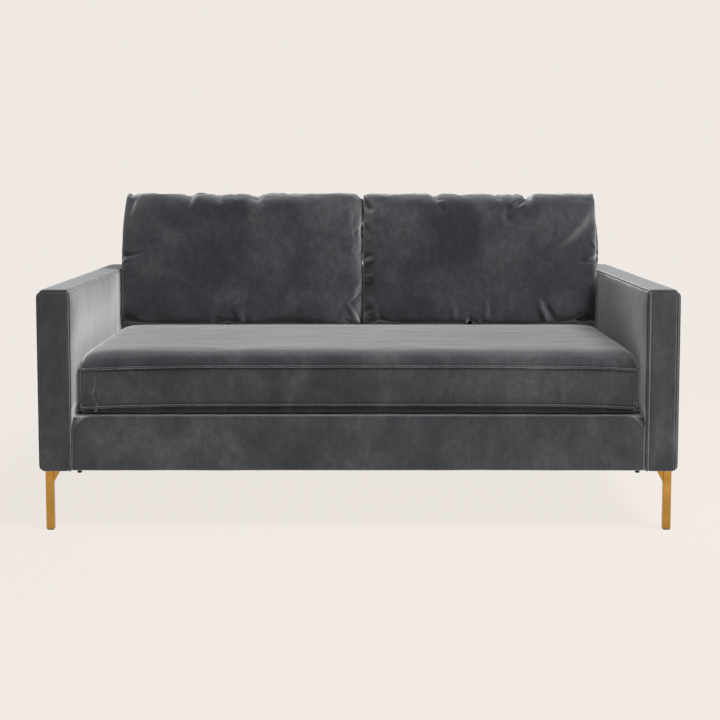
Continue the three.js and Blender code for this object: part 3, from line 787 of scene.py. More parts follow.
velvet = make_velvet()
brass = make_brass()
wood = make_wood()
foam = make_foam()
steel = make_steel()
jute = make_woven("jute_webbing", (0.16, 0.11, 0.06), (0.50, 0.38, 0.22), 3 * MM, 0.5 * MM)
cambric = make_woven("black_cambric", (0.008, 0.008, 0.009), (0.030, 0.030, 0.032), 1.2 * MM, 0.2 * MM)
zip_tape = make_woven("zip_tape", (0.010, 0.010, 0.012), (0.040, 0.041, 0.045), 1.5 * MM, 0.3 * MM)
zip_metal = make_moulded("zip_metal", (0.30, 0.30, 0.31), 0.35, 1.0)
bolt_steel = make_moulded("black_oxide", (0.035, 0.034, 0.034), 0.45, 0.9)
glide_plastic = make_moulded("glide_plastic", (0.030, 0.030, 0.031), 0.5)


# Arms
def arm_moves(grid, low, high, seed):
    """How far each point of the arm's box moves outward: puffed panels, seams, gathers and waves."""
    x, y, z = grid.T
    from_inner, from_outer = x - low[0], high[0] - x
    from_front, from_rear = y - low[1], high[1] - y
    from_top, from_bottom = high[2] - z, z - low[2]
    slack = ripple(grid, GATHER_SIZE, seed + 10) * MM

    on_end = (from_front < TINY) | (from_rear < TINY)
    on_inner = (from_inner < TINY) & ~on_end
    on_outer = (from_outer < TINY) & ~on_end
    on_top = (from_top < TINY) & ~on_end & ~on_inner & ~on_outer
    from_end = np.minimum(from_front, from_rear)
    end_top_seam = np.abs(from_top - FRONT_SEAM_DROP)
    side_top_seam = np.abs(from_top - SIDE_SEAM_DROP)
    end_seam = np.minimum(np.minimum(from_inner, from_outer), end_top_seam)
    side_seam = np.minimum(from_end, side_top_seam)
    top_seam = from_end + FRONT_SEAM_DROP

    cord = valley(from_inner - CORD_SETBACK, CORD_WIDTH)
    below_seam = from_top > FRONT_SEAM_DROP
    end_move = below_seam * (PANEL_PUFF * swell(end_seam, END_PUFF_REACH) + CORD_RISE * cord)
    from_stitch = np.minimum(np.abs(from_inner - STITCH_SETBACK), np.abs(from_outer - STITCH_SETBACK))
    end_move -= below_seam * STITCH_DEPTH * valley(from_stitch, STITCH_WIDTH)
    end_move += END_GATHER * slack * valley(end_top_seam, END_GATHER_REACH)
    bare = smooth_step(z, SEAT_TOP, SEAT_TOP + BARE_RISE)
    bare = bare * smooth_step(-y, -CUSHION_FRONT_Y, BARE_RUN - CUSHION_FRONT_Y)
    inner_lean = swell(from_end, INNER_LEAN[0]) * swell(from_top, INNER_LEAN[1])
    inner_move = (INNER_SWELL + INNER_ROLL * bare) * inner_lean
    inner_move += INNER_GATHER * slack * valley(side_top_seam, SIDE_GATHER_REACH)
    pressed = smooth_step(y, CUSHION_FRONT_Y - PRESSED_FROM, CUSHION_FRONT_Y + PRESSED_TO)
    inner_move *= 1 - PRESSED_SHARE * pressed
    outer_move = OUTER_SWELL * swell(from_end, OUTER_LEAN[0]) * swell(from_top, OUTER_LEAN[1])
    top_move = PANEL_PUFF * swell(top_seam, PUFF_REACH)
    top_move += TOP_GATHER * slack * valley(from_inner, TOP_GATHER_REACH)

    move = np.zeros(len(grid))
    for panel, amount, seam in (
        (on_end, end_move, end_seam), (on_inner, inner_move, side_seam),
        (on_outer, outer_move, from_end), (on_top, top_move, top_seam),
    ):
        move[panel] = (amount - SEAM_DEPTH * valley(seam))[panel]
    waves = surface_waves(grid, (0.8, 170 * MM, seed), (0.4, 55 * MM, seed + 20))
    move += waves * swell(np.minimum(end_seam, from_bottom) + WAVE_MARGIN, WAVE_REACH)
    beside_rail = on_inner & (y < rail_high.y + OVERRUN) & (z < DECK + OVERRUN)
    move[beside_rail] = np.minimum(move[beside_rail], 0)
    return move


def round_arm(points, from_front, low, high):
    """Rounds the arm's outer edges, and its inner top edge near the front."""
    round_corner(points, high[0], high[2], (1, 1), ARM_EDGE_RADIUS)
    round_corner(points, high[0], low[2], (1, -1), ARM_FOOT_RADIUS)
    rounded = points.copy()
    round_corner(rounded, low[0], high[2], (-1, 1), ARM_FRONT_RADIUS)
    points += valley(from_front, ARM_FRONT_REACH)[:, None] * (rounded - points)


def hollow_arm(piece, sign):
    """Cuts the room of its timber out of an arm, open toward the base and the back."""
    below = UNDERSIDE - OVERRUN
    inside = sign * (CAVITY_X[0] + FIT)
    toward_seat = sign * (ARM_INNER - OVERRUN)
    cut_block(piece, (sign * CAVITY_X[0], CAVITY_Y, below), (sign * CAVITY_X[1], -CAVITY_Y, CAVITY_TOP))
    cut_block(piece, (toward_seat, CAVITY_Y, below), (inside, -CAVITY_Y, DECK_BOTTOM))
    cut_block(piece, (toward_seat, BACK_CAVITY_Y, below), (inside, -CAVITY_Y, CAVITY_TOP))


def build_arm(side):
    """A padded arm: front, inner, outer and top panels sewn at the edges, and a top-stitched seam."""
    low = np.array([ARM_INNER, FRONT, UNDERSIDE])
    high = np.array([ARM_OUTER, REAR, ARM_TOP])
    stitches = (low[0] + STITCH_SETBACK, high[0] - STITCH_SETBACK)
    seams = (high[2] - FRONT_SEAM_DROP, high[2] - SIDE_SEAM_DROP, high[2] - ARM_FINE_DROP)
    xs = grid_lines(low[0], high[0], ARM_CELL[0], (low[0], low[0] + CORD_SETBACK, *stitches, high[0]))
    ys = grid_lines(low[1], high[1], ARM_CELL[1], (low[1], high[1]))
    zs = grid_lines(low[2], high[2], ARM_CELL[2], (low[2], high[2], *seams))
    grid, faces = box_surface(xs, ys, zs)
    points, outward = round_edges(grid, low, high, ARM_LOW_RADII, ARM_HIGH_RADII)
    points = points + outward * arm_moves(grid, low, high, 3 + SIDES[side])[:, None]
    round_arm(points, grid[:, 1] - low[1], low, high)
    if side == "left":
        points, faces = mirror_x(points, faces)
    piece = add_mesh(f"arm_upholstery_{side}", points, faces)
    hollow_arm(piece, SIDES[side])
    finish_piece(piece, velvet, "velvet", "frame", f"arm_cover_{side}", fill=0.9)


# Front rail
def build_rail():
    """The padded front rail, drawn down at the arms and sunk behind its front edge."""
    low = np.array([rail_low.x, FRONT, UNDERSIDE])
    high = np.array([rail_high.x, rail_high.y, DECK])
    fine = ((low[0], high[0]), (low[1],), (low[2], high[2]))
    spans = zip(low, high, RAIL_CELL, fine, RAIL_FINE_REACHES, RAIL_FINE_STEPS)
    grid, faces = box_surface(*(grid_lines(*span) for span in spans))
    points, outward = round_edges(grid, low, high, RAIL_LOW_RADII, RAIL_HIGH_RADII)
    x, y, z = grid.T
    from_end = np.minimum(x - low[0], high[0] - x)
    rise = (z - low[2]) / (high[2] - low[2])
    ahead = np.clip((CAVITY_Y - points[:, 1]) / (CAVITY_Y - low[1]), 0, 1)
    end_drop = (RAIL_END_DIP + RAIL_END_ROLL * ahead) * valley(from_end, RAIL_END_REACH) * rise ** 2
    sink = RAIL_SINK * smooth_step(y, low[1] + RAIL_SINK_FROM, low[1] + RAIL_SINK_TO) * rise ** 8
    puff = (y - low[1] < TINY) * PANEL_PUFF * (swell(from_end, RAIL_PUFF_REACH) - 1)
    waves = surface_waves(grid, (0.9, 150 * MM, 8), (0.4, 60 * MM, 9)) * swell(from_end, RAIL_PUFF_REACH)
    points = points + outward * (puff + waves)[:, None]
    points[:, 2] -= np.maximum(end_drop, sink)
    piece = add_mesh("front_rail_upholstery", points, faces)
    cut_block(piece, (low[0] - OVERRUN, CAVITY_Y, UNDERSIDE - OVERRUN),
              (high[0] + OVERRUN, high[1] + OVERRUN, DECK_BOTTOM))
    finish_piece(piece, velvet, "velvet", "frame", "front_rail_cover", fill=0.9)


# Back
def build_back():
    """The inside back, raked, with the top panel and the outside back."""
    low = np.array([back_low.x, back_low.y, UNDERSIDE])
    high = np.array([back_high.x, REAR, ARM_TOP])
    xs = grid_lines(low[0], high[0], BACK_CELL[0], (low[0], high[0]), BACK_END_REACH, BACK_FINE_STEP)
    ys = grid_lines(low[1], high[1], BACK_CELL[1], (low[1], high[1]))
    zs = grid_lines(low[2], high[2], BACK_CELL[2], (high[2],))
    grid, faces = box_surface(xs, ys, zs)
    points, outward = round_edges(grid, low, high, BACK_RADII, BACK_RADII)
    x, y, z = grid.T
    from_front, from_rear, from_top = y - low[1], high[1] - y, high[2] - z
    from_end = np.minimum(x - low[0], high[0] - x)
    on_top = from_top < TINY
    on_wall = ~on_top & ((from_front < TINY) | (from_rear < TINY))
    wall_move = OUTER_SWELL * swell(from_top, BACK_SWELL_REACH)
    wall_move *= swell(from_end + BACK_END_MARGIN, BACK_SWELL_REACH)
    top_seam = np.minimum(from_front, from_rear)
    move = np.where(on_wall, wall_move - SEAM_DEPTH * valley(from_top), 0)
    move += on_top * (PANEL_PUFF * swell(top_seam, PUFF_REACH) - SEAM_DEPTH * valley(top_seam))
    move += surface_waves(grid, (1.2, 190 * MM, 12), (0.4, 60 * MM, 13))
    points = points + outward * move[:, None]
    rise = np.clip((z - DECK) / (ARM_TOP - DECK), 0, 1)
    points[:, 1] += BACK_RAKE_RUN * rise * (high[1] - y) / (high[1] - low[1])
    piece = add_mesh("back_upholstery", points, faces)
    below = UNDERSIDE - OVERRUN
    left, right = low[0] - OVERRUN, high[0] + OVERRUN
    cut_block(piece, (left, low[1] - OVERRUN, below), (right, -CAVITY_Y, DECK + FIT))
    cut_block(piece, (left, BACK_CAVITY_Y, below), (right, -CAVITY_Y, CAVITY_TOP))
    finish_piece(piece, velvet, "velvet", "frame", "back_cover", fill=0.9)


# Deck and dust cover
def build_deck():
    """The lined deck under the seat cushion, over the springs."""
    low, high = np.array(deck_low), np.array(deck_high)
    xs = grid_lines(low[0], high[0], DECK_CELL)
    ys = grid_lines(low[1], high[1], DECK_CELL)
    zs = np.array([low[2], high[2] - DECK_SEAM_DROP, high[2]])
    grid, faces = box_surface(xs, ys, zs)
    points, _ = round_edges(grid, low, high, DECK_RADII, DECK_RADII)
    hollow = 0.5 + 0.5 * ripple(grid, DECK_HOLLOW_SIZE, 31)
    points[:, 2] -= (grid[:, 2] == high[2]) * DECK_HOLLOW * hollow
    piece = add_mesh("deck_lining", points, faces)
    finish_piece(piece, velvet, "velvet", "frame", "deck_pad", fill=0.5)


def build_dust_cover():
    """Black cambric under the frame, turned in at its edges and stapled all round."""
    low, high = (np.array(corner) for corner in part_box("dust_cover"))
    xs, ys = (
        grid_lines(start, end, CAMBRIC_CELL, (start + HEM_WIDTH, end - HEM_WIDTH), HEM_REACH)
        for start, end in zip(low[:2], high[:2])
    )
    zs = np.array([high[2] - CAMBRIC_THICKNESS, high[2]])
    grid, faces = box_surface(xs, ys, zs)
    x, y, _ = grid.T
    from_edge = np.minimum(np.minimum(x - low[0], high[0] - x), np.minimum(y - low[1], high[1] - y))
    waves = 1 + 0.5 * ripple(grid, CAMBRIC_WAVE_SIZE, 41)
    sag = CAMBRIC_SAG * swell(from_edge - HEM_WIDTH, CAMBRIC_SAG_REACH) * waves
    hem = HEM_DROP * (from_edge < HEM_WIDTH)
    points = grid.copy()
    points[:, 2] -= sag + hem * (grid[:, 2] < high[2] - TINY)
    piece = add_mesh("dust_cover_cambric", points, faces)
    finish_piece(piece, cambric, "dust_cloth", "frame", "dust_cover")
    build_staples(low, high)


def build_staples(low, high):
    """The staples, in a row along each edge of the dust cover."""
    points, faces = [], []
    corner, quads = box_surface(*(np.array([-1.0, 1.0]),) * 3)
    for axis in (0, 1):
        across = 1 - axis
        size = np.array(STAPLE_HALF_SIZE)[[axis, across, 2]]
        run = high[axis] - low[axis] - 2 * STAPLE_INSET
        count = round(run / STAPLE_PITCH)
        for step in range(count + 1):
            for edge in (low[across] + STAPLE_INSET, high[across] - STAPLE_INSET):
                centre = np.zeros(3)
                centre[axis] = low[axis] + STAPLE_INSET + run * step / count
                centre[across] = edge
                centre[2] = low[2] - STAPLE_PROUD
                faces.append(quads + len(corner) * len(points))
                points.append(centre + corner * size)
    staples = add_mesh("dust_cover_staples", np.concatenate(points), np.concatenate(faces))
    staples.data.shade_flat()
    finish_piece(staples, steel, "spring_steel", "frame")


# Seat cushion
def fall_off(share, power):
    """1 in the middle, 0 at a share of -1 or 1, and flatter between for more power."""
    return np.maximum(1 - np.abs(share) ** power, 0)


def quarter_round(distance, radius, power=2):
    """A quarter turn from 1 at an edge to 0 at its radius away: a circle, or squarer for more power."""
    share = np.clip(distance / radius, 0, 1)
    return 1 - (1 - (1 - share) ** power) ** (1 / power)


def seat_border(u, v):
    """Distance in from the seat cushion's seams, at shares of its half sizes."""
    return np.minimum((1 - np.abs(u)) * SEAT_HALF_WIDTH, (1 - np.abs(v)) * SEAT_HALF_DEPTH)


def seat_top(u, v):
    """Height of the seat cushion's upper panel above the deck, at shares of its half sizes."""
    corner = (np.abs(u) * np.abs(v)) ** 6
    from_front = (1 + v) * SEAT_HALF_DEPTH
    slope = from_front * SEAT_FRONT_SLOPE / SEAT_ROLL
    full = (SEAT_CROWN - SEAT_EDGE_RISE) / SEAT_ROLL
    ahead = (math.log(1 + math.exp(-full)) - np.logaddexp(-slope, -full)) * SEAT_ROLL
    ahead += SEAT_EDGE_RISE * (1 - quarter_round(from_front, SEAT_EDGE_REACH))
    crown = fall_off(u, 40) ** 0.3 * np.where(v < 0, ahead, ahead * fall_off(v, 6) ** 1.5)
    return SEAT_LOWER_RISE + SEAT_BOXING + crown - SEAT_CORNER_DROP * corner


def seat_point(u, v, w):
    """A point on the seat cushion: u and v are shares of its half sizes, w goes from seam to seam."""
    corner = (np.abs(u) * np.abs(v)) ** 6
    bulge = SEAT_BULGE * fall_off(w, 2) * (v < 1)
    low = SEAT_LOWER_RISE * quarter_round(seat_border(u, v), SEAT_LOWER_RISE, SEAT_LOWER_POWER)
    low = np.maximum(low - SEAT_CORNER_DROP * corner, 0)
    round_in = SEAT_CORNER_ROUNDING * (np.abs(u) * np.abs(v)) ** 40
    x = SEAT_SHIFT_X + u * (SEAT_HALF_WIDTH + bulge - round_in)
    dip = SEAT_FRONT_DIP * fall_off(u, 2) * (v < 0)
    y = SEAT_CENTRE_Y + v * (SEAT_HALF_DEPTH + bulge * (v < 0) - round_in - dip)
    return np.column_stack([x, y, DECK + FIT + low + (seat_top(u, v) - low) * (w + 1) / 2])


def crease(across, along, length, height):
    """A fold: steep on one side, easing off on the other, and fading at both ends."""
    width = np.where(across > 0, FOLD_SHARP, FOLD_SOFT)
    return height * valley(across, width) * np.exp(-((2 * along / length) ** 4))


def shape_seat(points, share):
    """Adds the seat cushion's seam grooves, the waves of its cloth, and the front boxing's join and folds."""
    u, v, w = share.T
    on_top, on_bottom = w > 1 - TINY, w < -1 + TINY
    on_side = ~on_top & ~on_bottom
    on_front = on_side & (v < -1 + TINY)
    sideways = on_side & ~on_front & (v < 1 - TINY)
    border = seat_border(u, v)
    from_seam = np.where(on_side, (1 - np.abs(w)) * SEAT_BOXING / 2, border)
    slack = ripple(points, SEAT_GATHER_SIZE, 51, (1, 3, 1)) * MM
    streaks = ripple(points, SEAT_STREAK_SIZE, 54, (5, 1, 1)) * MM
    dents = SEAT_DENT * ripple(points, SEAT_DENT_SIZE, 57, (1.6, 1, 1))

    uneven = SEAT_WAVE * ripple(points, SEAT_WAVE_SIZE, 52) + 0.9 * slack * valley(border, SEAT_GATHER_REACH)
    uneven += 1.1 * streaks * swell(border, SEAT_STREAK_REACH)
    uneven += dents * valley(border - SEAT_DENT_PLACE, SEAT_DENT_REACH)
    y = points[:, 1]
    still = smooth_step(y, CUSHION_FRONT_Y - SEAT_STILL_FROM, CUSHION_FRONT_Y + SEAT_STILL_TO)
    uneven *= 1 - SEAT_STILL_SHARE * still
    uneven -= SLIDER_ROOM * valley(y - ZIP_FRONT_Y - SLIDER_SETBACK, SLIDER_ROOM_WIDTH)
    points[:, 2] += on_top * (uneven - groove(border, *TOP_GROOVE))
    points[:, 2] += on_bottom * groove(border, *BOTTOM_GROOVE)
    x = points[:, 0]
    level = w * SEAT_BOXING / 2
    out = boxing_join(x, level) + boxing_folds(x, level)
    out += BOXING_WAVE * ripple(points, BOXING_WAVE_SIZE, 53) + 0.5 * slack
    points[:, 1] -= on_front * (out - groove(from_seam, *FRONT_GROOVE))
    points[:, 0] -= sideways * np.sign(u) * groove(from_seam, *SIDE_GROOVE)


def build_seat():
    """The bench cushion: a crowned top, an upright boxing and two welted seams."""
    us, vs, ws = (
        grid_lines(-1, 1, step, (-1, 1), reach, fine_step) for step, reach, fine_step in SEAT_GRID
    )
    join = BOXING_JOIN_X / SEAT_HALF_WIDTH + np.arange(-JOIN_REACH, JOIN_REACH, JOIN_STEP)
    share, faces = box_surface(np.unique(np.concatenate([us, join])), vs, ws)
    points = seat_point(*share.T)
    shape_seat(points, share)
    piece = add_mesh("seat_cushion_velvet", points, faces)
    finish_piece(piece, velvet, "velvet", "seat_cushion", "seat_cushion_cover", fill=0.85)

    for name, w_seam in (("upper", 1.0), ("lower", -1.0)):
        welt = add_mesh(f"seat_welt_{name}", *tube(seat_seam_path(w_seam), WELT_RADIUS, WELT_SIDES))
        finish_piece(welt, velvet, "velvet", "seat_cushion")


def boxing_join(x, level):
    """The seam where the side boxing meets the front one: the side's cloth stands proud of it."""
    away = x - BOXING_JOIN_X - wave_height(JOIN_SWAYS, level)
    step = 1 / (1 + np.exp(np.clip(away / JOIN_EDGE, -30, 30)))
    ledge = JOIN_LEDGE * step * np.exp(-np.maximum(-away, 0) / JOIN_LEDGE_WIDTH)
    return ledge - JOIN_GROOVE * valley(away - JOIN_GROOVE_SETBACK, JOIN_GROOVE)


def boxing_folds(x, level):
    """Slack folds in the front boxing."""
    folds = 0
    for place, lean, middle, length, height in BOXING_FOLDS:
        across = x - place * MM + lean * level
        folds = folds + crease(-across, level - middle * MM, length * MM, height * MM)
    return folds


def seat_seam_path(w):
    """The seam's path round the cushion, a closed loop of points, denser toward the corners."""
    corner_points, side_points = WELT_POINTS
    near = np.linspace(WELT_CORNER_SHARE, 1, corner_points)
    run = np.concatenate([
        -near[::-1], np.linspace(-WELT_CORNER_SHARE, WELT_CORNER_SHARE, side_points)[1:-1], near[:-1],
    ])
    one = np.ones_like(run)
    u = np.concatenate([run, one, -run, -one])
    v = np.concatenate([-one, run, one, -run])
    level = w * np.ones_like(u)
    path = seat_point(u, v, level)
    outward = np.column_stack([u, v, WELT_SLANT * level])
    outward[:, :2] *= (np.abs(outward[:, :2]) > 1 - TINY)
    outward /= np.linalg.norm(outward, axis=1, keepdims=True)
    path += outward * WELT_STANDOFF
    path[:, 2] += WELT_WAVE * ripple(path, WELT_WAVE_SIZE, 61 + w)
    return path


def tube(path, radius, sides):
    """A closed tube round a closed, nearly level path."""
    count = len(path)
    along = np.roll(path, -1, 0) - np.roll(path, 1, 0)
    along /= np.linalg.norm(along, axis=1, keepdims=True)
    across = np.cross(along, [0, 0, 1])
    across /= np.linalg.norm(across, axis=1, keepdims=True)
    up = np.cross(across, along)
    turn = 2 * math.pi * np.arange(sides) / sides
    ring = across[:, None] * np.cos(turn)[:, None] + up[:, None] * np.sin(turn)[:, None]
    points = (path[:, None] + radius * ring).reshape(-1, 3)
    number = np.arange(count * sides).reshape(count, sides)
    number = np.pad(number, ((0, 1), (0, 1)), "wrap")
    return points, grid_quads(number)


# Back cushions
class Pattern:
    """Two flat panels, sewn together all round: shares u and v of each point and its panel."""

    def __init__(self):
        columns, rows = PATTERN_CELLS
        u, v = np.meshgrid(np.linspace(-1, 1, columns + 1), np.linspace(-1, 1, rows + 1), indexing="ij")
        inner = (np.abs(u) < 1 - TINY) & (np.abs(v) < 1 - TINY)
        front = np.arange(u.size).reshape(u.shape)
        rear = np.where(inner, -1, front)
        rear[inner] = u.size + np.arange(inner.sum())
        self.u = np.concatenate([u.ravel(), u[inner]])
        self.v = np.concatenate([v.ravel(), v[inner]])
        self.panel = np.concatenate([np.where(inner, -1, 0).ravel(), np.ones(inner.sum())])
        self.faces = np.concatenate([grid_quads(front), grid_quads(rear, True)])
        self.zip_seam = self.v < -1 + TINY
        self.zip_rows = self.zip_seam | (np.abs(self.v + 1 - 2 / rows) < TINY)

    def flat(self):
        """The panels as cut: fuller at the middle of each edge than at the corners."""
        corner = (np.abs(self.u) * np.abs(self.v)) ** 24
        half_x = PATTERN_CORNER[0] + (PATTERN_MIDDLE[0] - PATTERN_CORNER[0]) * fall_off(self.v, 2.5)
        half_z = PATTERN_CORNER[1] + (PATTERN_MIDDLE[1] - PATTERN_CORNER[1]) * fall_off(self.u, 4)
        x = self.u * half_x - np.sign(self.u) * PATTERN_ROUNDING * corner
        z = self.v * half_z - np.sign(self.v) * PATTERN_ROUNDING * corner
        return np.column_stack([x, np.zeros_like(x), z])

    def stuffed(self, seed):
        """The starting shape: the panels pushed apart, and the zip seam where the zip is."""
        full = (fall_off(self.u, 3) * fall_off(self.v, 2)) ** 0.6
        places = np.column_stack([5 * self.u, 3 * self.panel, 4 * self.v])
        uneven = STUFFED_UNEVENNESS * ripple(places, 1.0, seed)
        uneven = uneven * fall_off(self.u, 4) * fall_off(self.v, 4)
        lower = np.clip((-self.v - 0.6) / 0.4, 0, 1) ** 2
        y = self.panel * (STUFFED_HALF_DEPTH * full + uneven) + ZIP_SETBACK * lower
        points = np.column_stack([STUFFED_HALF_WIDTH * self.u, y, STUFFED_HALF_HEIGHT * self.v])
        points[self.zip_rows, 1] = ZIP_SETBACK + self.panel[self.zip_rows] * ZIP_STRIP
        points[self.zip_rows, 2] = ZIP_LEVEL + ZIP_STRIP_RISE * ~self.zip_seam[self.zip_rows]
        return points


def inflate(pattern, seed):
    """Sews and stuffs the pattern by cloth simulation. Returns its points."""
    piece = add_mesh("cushion_cloth", pattern.stuffed(seed), pattern.faces)
    piece.shape_key_add(name="stuffed")
    cut = piece.shape_key_add(name="cut")
    cut.data.foreach_set("co", pattern.flat().ravel())
    held = piece.vertex_groups.new(name="zip")
    still = pattern.zip_rows & (np.abs(pattern.u) < ZIP_HELD_SHARE)
    held.add(np.nonzero(still)[0].tolist(), 1.0, "REPLACE")
    cloth = piece.modifiers.new("cloth", "CLOTH")
    settings = cloth.settings
    settings.quality = 4
    settings.mass = 0.15
    settings.air_damping = 2
    settings.tension_stiffness = settings.compression_stiffness = 25
    settings.shear_stiffness = 12
    settings.bending_stiffness = 0.15
    settings.tension_damping = settings.compression_damping = settings.shear_damping = 8
    settings.bending_damping = 1.0
    settings.use_pressure = True
    settings.uniform_pressure_force = 0.0
    settings.use_pressure_volume = True
    settings.target_volume = STUFFED_VOLUME
    settings.pressure_factor = 40
    settings.rest_shape_key = cut
    settings.vertex_group_mass = held.name
    settings.effector_weights.gravity = 0.0
    cloth.collision_settings.use_collision = False
    for step in range(1, CLOTH_STEPS + 1):
        bpy.context.scene.frame_set(step)
    graph = bpy.context.evaluated_depsgraph_get()
    mesh = piece.evaluated_get(graph).data
    points = np.empty(3 * len(mesh.vertices))
    mesh.vertices.foreach_get("co", points)
    bpy.context.scene.frame_set(1)
    bpy.data.objects.remove(piece)
    return points.reshape(-1, 3)


def cap_depth(points, start=45 * MM):
    """Lets the panels stand out only so far, more softly the further they go."""
    y = points[:, 1]
    room = np.where(y < 0, *CUSHION_DEPTH) - start
    over = np.maximum(np.abs(y) - start, 0)
    points[:, 1] = np.sign(y) * (np.minimum(np.abs(y), start) + room * (1 - np.exp(-over / room)))


def fill_edges(points, pattern, side):
    """Makes the panels rise more steeply from the outer and top seams, as over well-filled edges."""
    from_side = (1 - SIDES[side] * pattern.u) * STUFFED_HALF_WIDTH
    border = np.minimum(from_side, (1 - pattern.v) * STUFFED_HALF_HEIGHT)
    points[:, 1] *= 1 + EDGE_FULLNESS * valley(border - EDGE_BAND, EDGE_BAND)


def even_outline(points, pattern, half_width):
    """Brings the seams out to the finished outline by stretching the middle, not the rolled edges."""
    fit = np.polynomial.Polynomial.fit
    top = pattern.v > 1 - TINY
    gap = CUSHION_HALF_HEIGHT - fit(pattern.u[top], points[top, 2], 6)(pattern.u)
    points[:, 2] += gap * smooth_step(points[:, 2], *STRETCH_Z)
    for sign in (-1, 1):
        edge = pattern.u * sign > 1 - TINY
        gap = sign * half_width - fit(pattern.v[edge], points[edge, 0], 4)(pattern.v)
        points[:, 0] += gap * smooth_step(sign * points[:, 0], *STRETCH_X)


def settle_on_seat(points):
    """Lets the front panel's lower edge roll out over the seat."""
    x, y, z = points.T
    low = smooth_step(-z, *SETTLE_BAND)
    between = smooth_step(SETTLE_HALF_WIDTH - np.abs(x), 0, SETTLE_END_REACH)
    ahead = smooth_step(-y, *SETTLE_DEPTH_BAND) * between
    roll = valley(z + SETTLE_ROLL_LEVEL, SETTLE_ROLL_WIDTH)
    points[:, 1] -= SETTLE_FORWARD * low * ahead
    points[:, 2] -= SETTLE_ROLL * roll * ahead
    points[:, 2] -= CORNER_SAG * low * smooth_step(np.abs(x), *CORNER_SAG_BAND)


def inner_limit(points, side):
    """How near to the sofa's middle each point may come: the cushions meet at one line at each height."""
    bow = MEETING_WAVE * valley(points[:, 1] - CUSHION_CENTRE_Y, MEETING_WAVE_WIDTH)
    return SIDES[side] * (CUSHION_MEETING_X + bow) + MEETING_CLEARANCE


def press_sides(points, side):
    """Flattens the outer side against the arm, and the inner one against the other cushion."""
    sign = SIDES[side]
    out, z = sign * points[:, 0], points[:, 2]
    outer = CUSHION_REACH_X[side]
    inner = inner_limit(points, side)
    above = smooth_step(z, ARM_TOP + OVERHANG_FROM, ARM_TOP + OVERHANG_TO)
    taper = CUSHION_TOP_TAPER * smooth_step(z, ARM_TOP + TAPER_FROM, ARM_TOP + TAPER_TO)
    limit = outer + CUSHION_OVERHANG[side] * above - taper
    spring = OUTER_SPRING * (1 - OUTER_SPRING_SHARE * above)
    out = out + spring * smooth_step(out, OUTER_SPRING_START, outer)
    out = out - MEETING_SPRING * smooth_step(-out, -inner - MEETING_SPRING_REACH, -inner)
    out = -OUTER_SOFTNESS * np.logaddexp(-out / OUTER_SOFTNESS, -limit / OUTER_SOFTNESS)
    points[:, 0] = sign * MEETING_SOFTNESS * np.logaddexp(out / MEETING_SOFTNESS, inner / MEETING_SOFTNESS)


def roll_edges(points, turn, centre, half_width, side):
    """Turns the panels back toward their seam near the sides and the top."""
    local = (points - centre) @ turn
    out = SIDES[side] * local[:, 0]
    top = CUSHION_HALF_HEIGHT + wave_height(TOP_WAVES[side], local[:, 0])
    local[:, 1] *= 1 - OUTER_ROLL_SHARE * quarter_round(half_width - out, OUTER_ROLL)
    local[:, 1] *= 1 - ROLL_SHARE * quarter_round(half_width + out, MEETING_ROLL)
    local[:, 1] *= 1 - ROLL_SHARE * quarter_round(top - local[:, 2], TOP_ROLL)
    points[:] = local @ turn.T + centre


def round_ear(points, share, side):
    """Rounds the cushion's outer upper corner."""
    outer = share[:, 0] * SIDES[side] > EAR_SHARE
    edge_x = SIDES[side] * np.abs(points[points[:, 2] > ARM_TOP + EAR_LEVEL, 0]).max()
    round_corner(points, edge_x, points[outer, 2].max(), (SIDES[side], 1), EAR_RADIUS)


def seat_height(x, y):
    """Height of the seat cushion's top at a place."""
    u = np.clip((x - SEAT_SHIFT_X) / SEAT_HALF_WIDTH, -1, 1)
    v = np.clip((y - SEAT_CENTRE_Y) / SEAT_HALF_DEPTH, -1, 1)
    return DECK + FIT + seat_top(u, v)


def stroke(x, z, path, width):
    """1 along a path, falling off to its sides and toward its ends."""
    path = np.array(path) * MM
    starts, steps = path[:-1], np.diff(path, axis=0)
    lengths = np.linalg.norm(steps, axis=1)
    away = np.stack([x, z], -1)[:, None] - starts
    share = np.clip((away * steps).sum(-1) / lengths ** 2, 0, 1)
    distance = np.linalg.norm(away - share[..., None] * steps, axis=-1)
    nearest = distance.argmin(1)
    rows = np.arange(len(x))
    along = (np.cumsum(lengths) - lengths)[nearest] + share[rows, nearest] * lengths[nearest]
    fade = 1 - (2 * along / lengths.sum() - 1) ** 2
    return valley(distance[rows, nearest], width * MM) * fade


def refine(points, faces, kind):
    """Points and faces after one subdivision of the given kind."""
    piece = add_mesh("refined", points, faces)
    modifier = piece.modifiers.new("subdivision", "SUBSURF")
    modifier.subdivision_type = kind
    modifier.levels = 1
    apply_modifiers(piece)
    mesh = piece.data
    finer = np.empty(3 * len(mesh.vertices))
    mesh.vertices.foreach_get("co", finer)
    corners = np.empty(len(mesh.loops), int)
    mesh.loops.foreach_get("vertex_index", corners)
    bpy.data.objects.remove(piece)
    return finer.reshape(-1, 3), corners.reshape(-1, 4)


def outward_of(points, faces):
    """The direction in which each point's surface faces."""
    piece = add_mesh("facing", points, faces)
    facing = np.empty(3 * len(points))
    piece.data.vertices.foreach_get("normal", facing)
    bpy.data.objects.remove(piece)
    return facing.reshape(-1, 3)


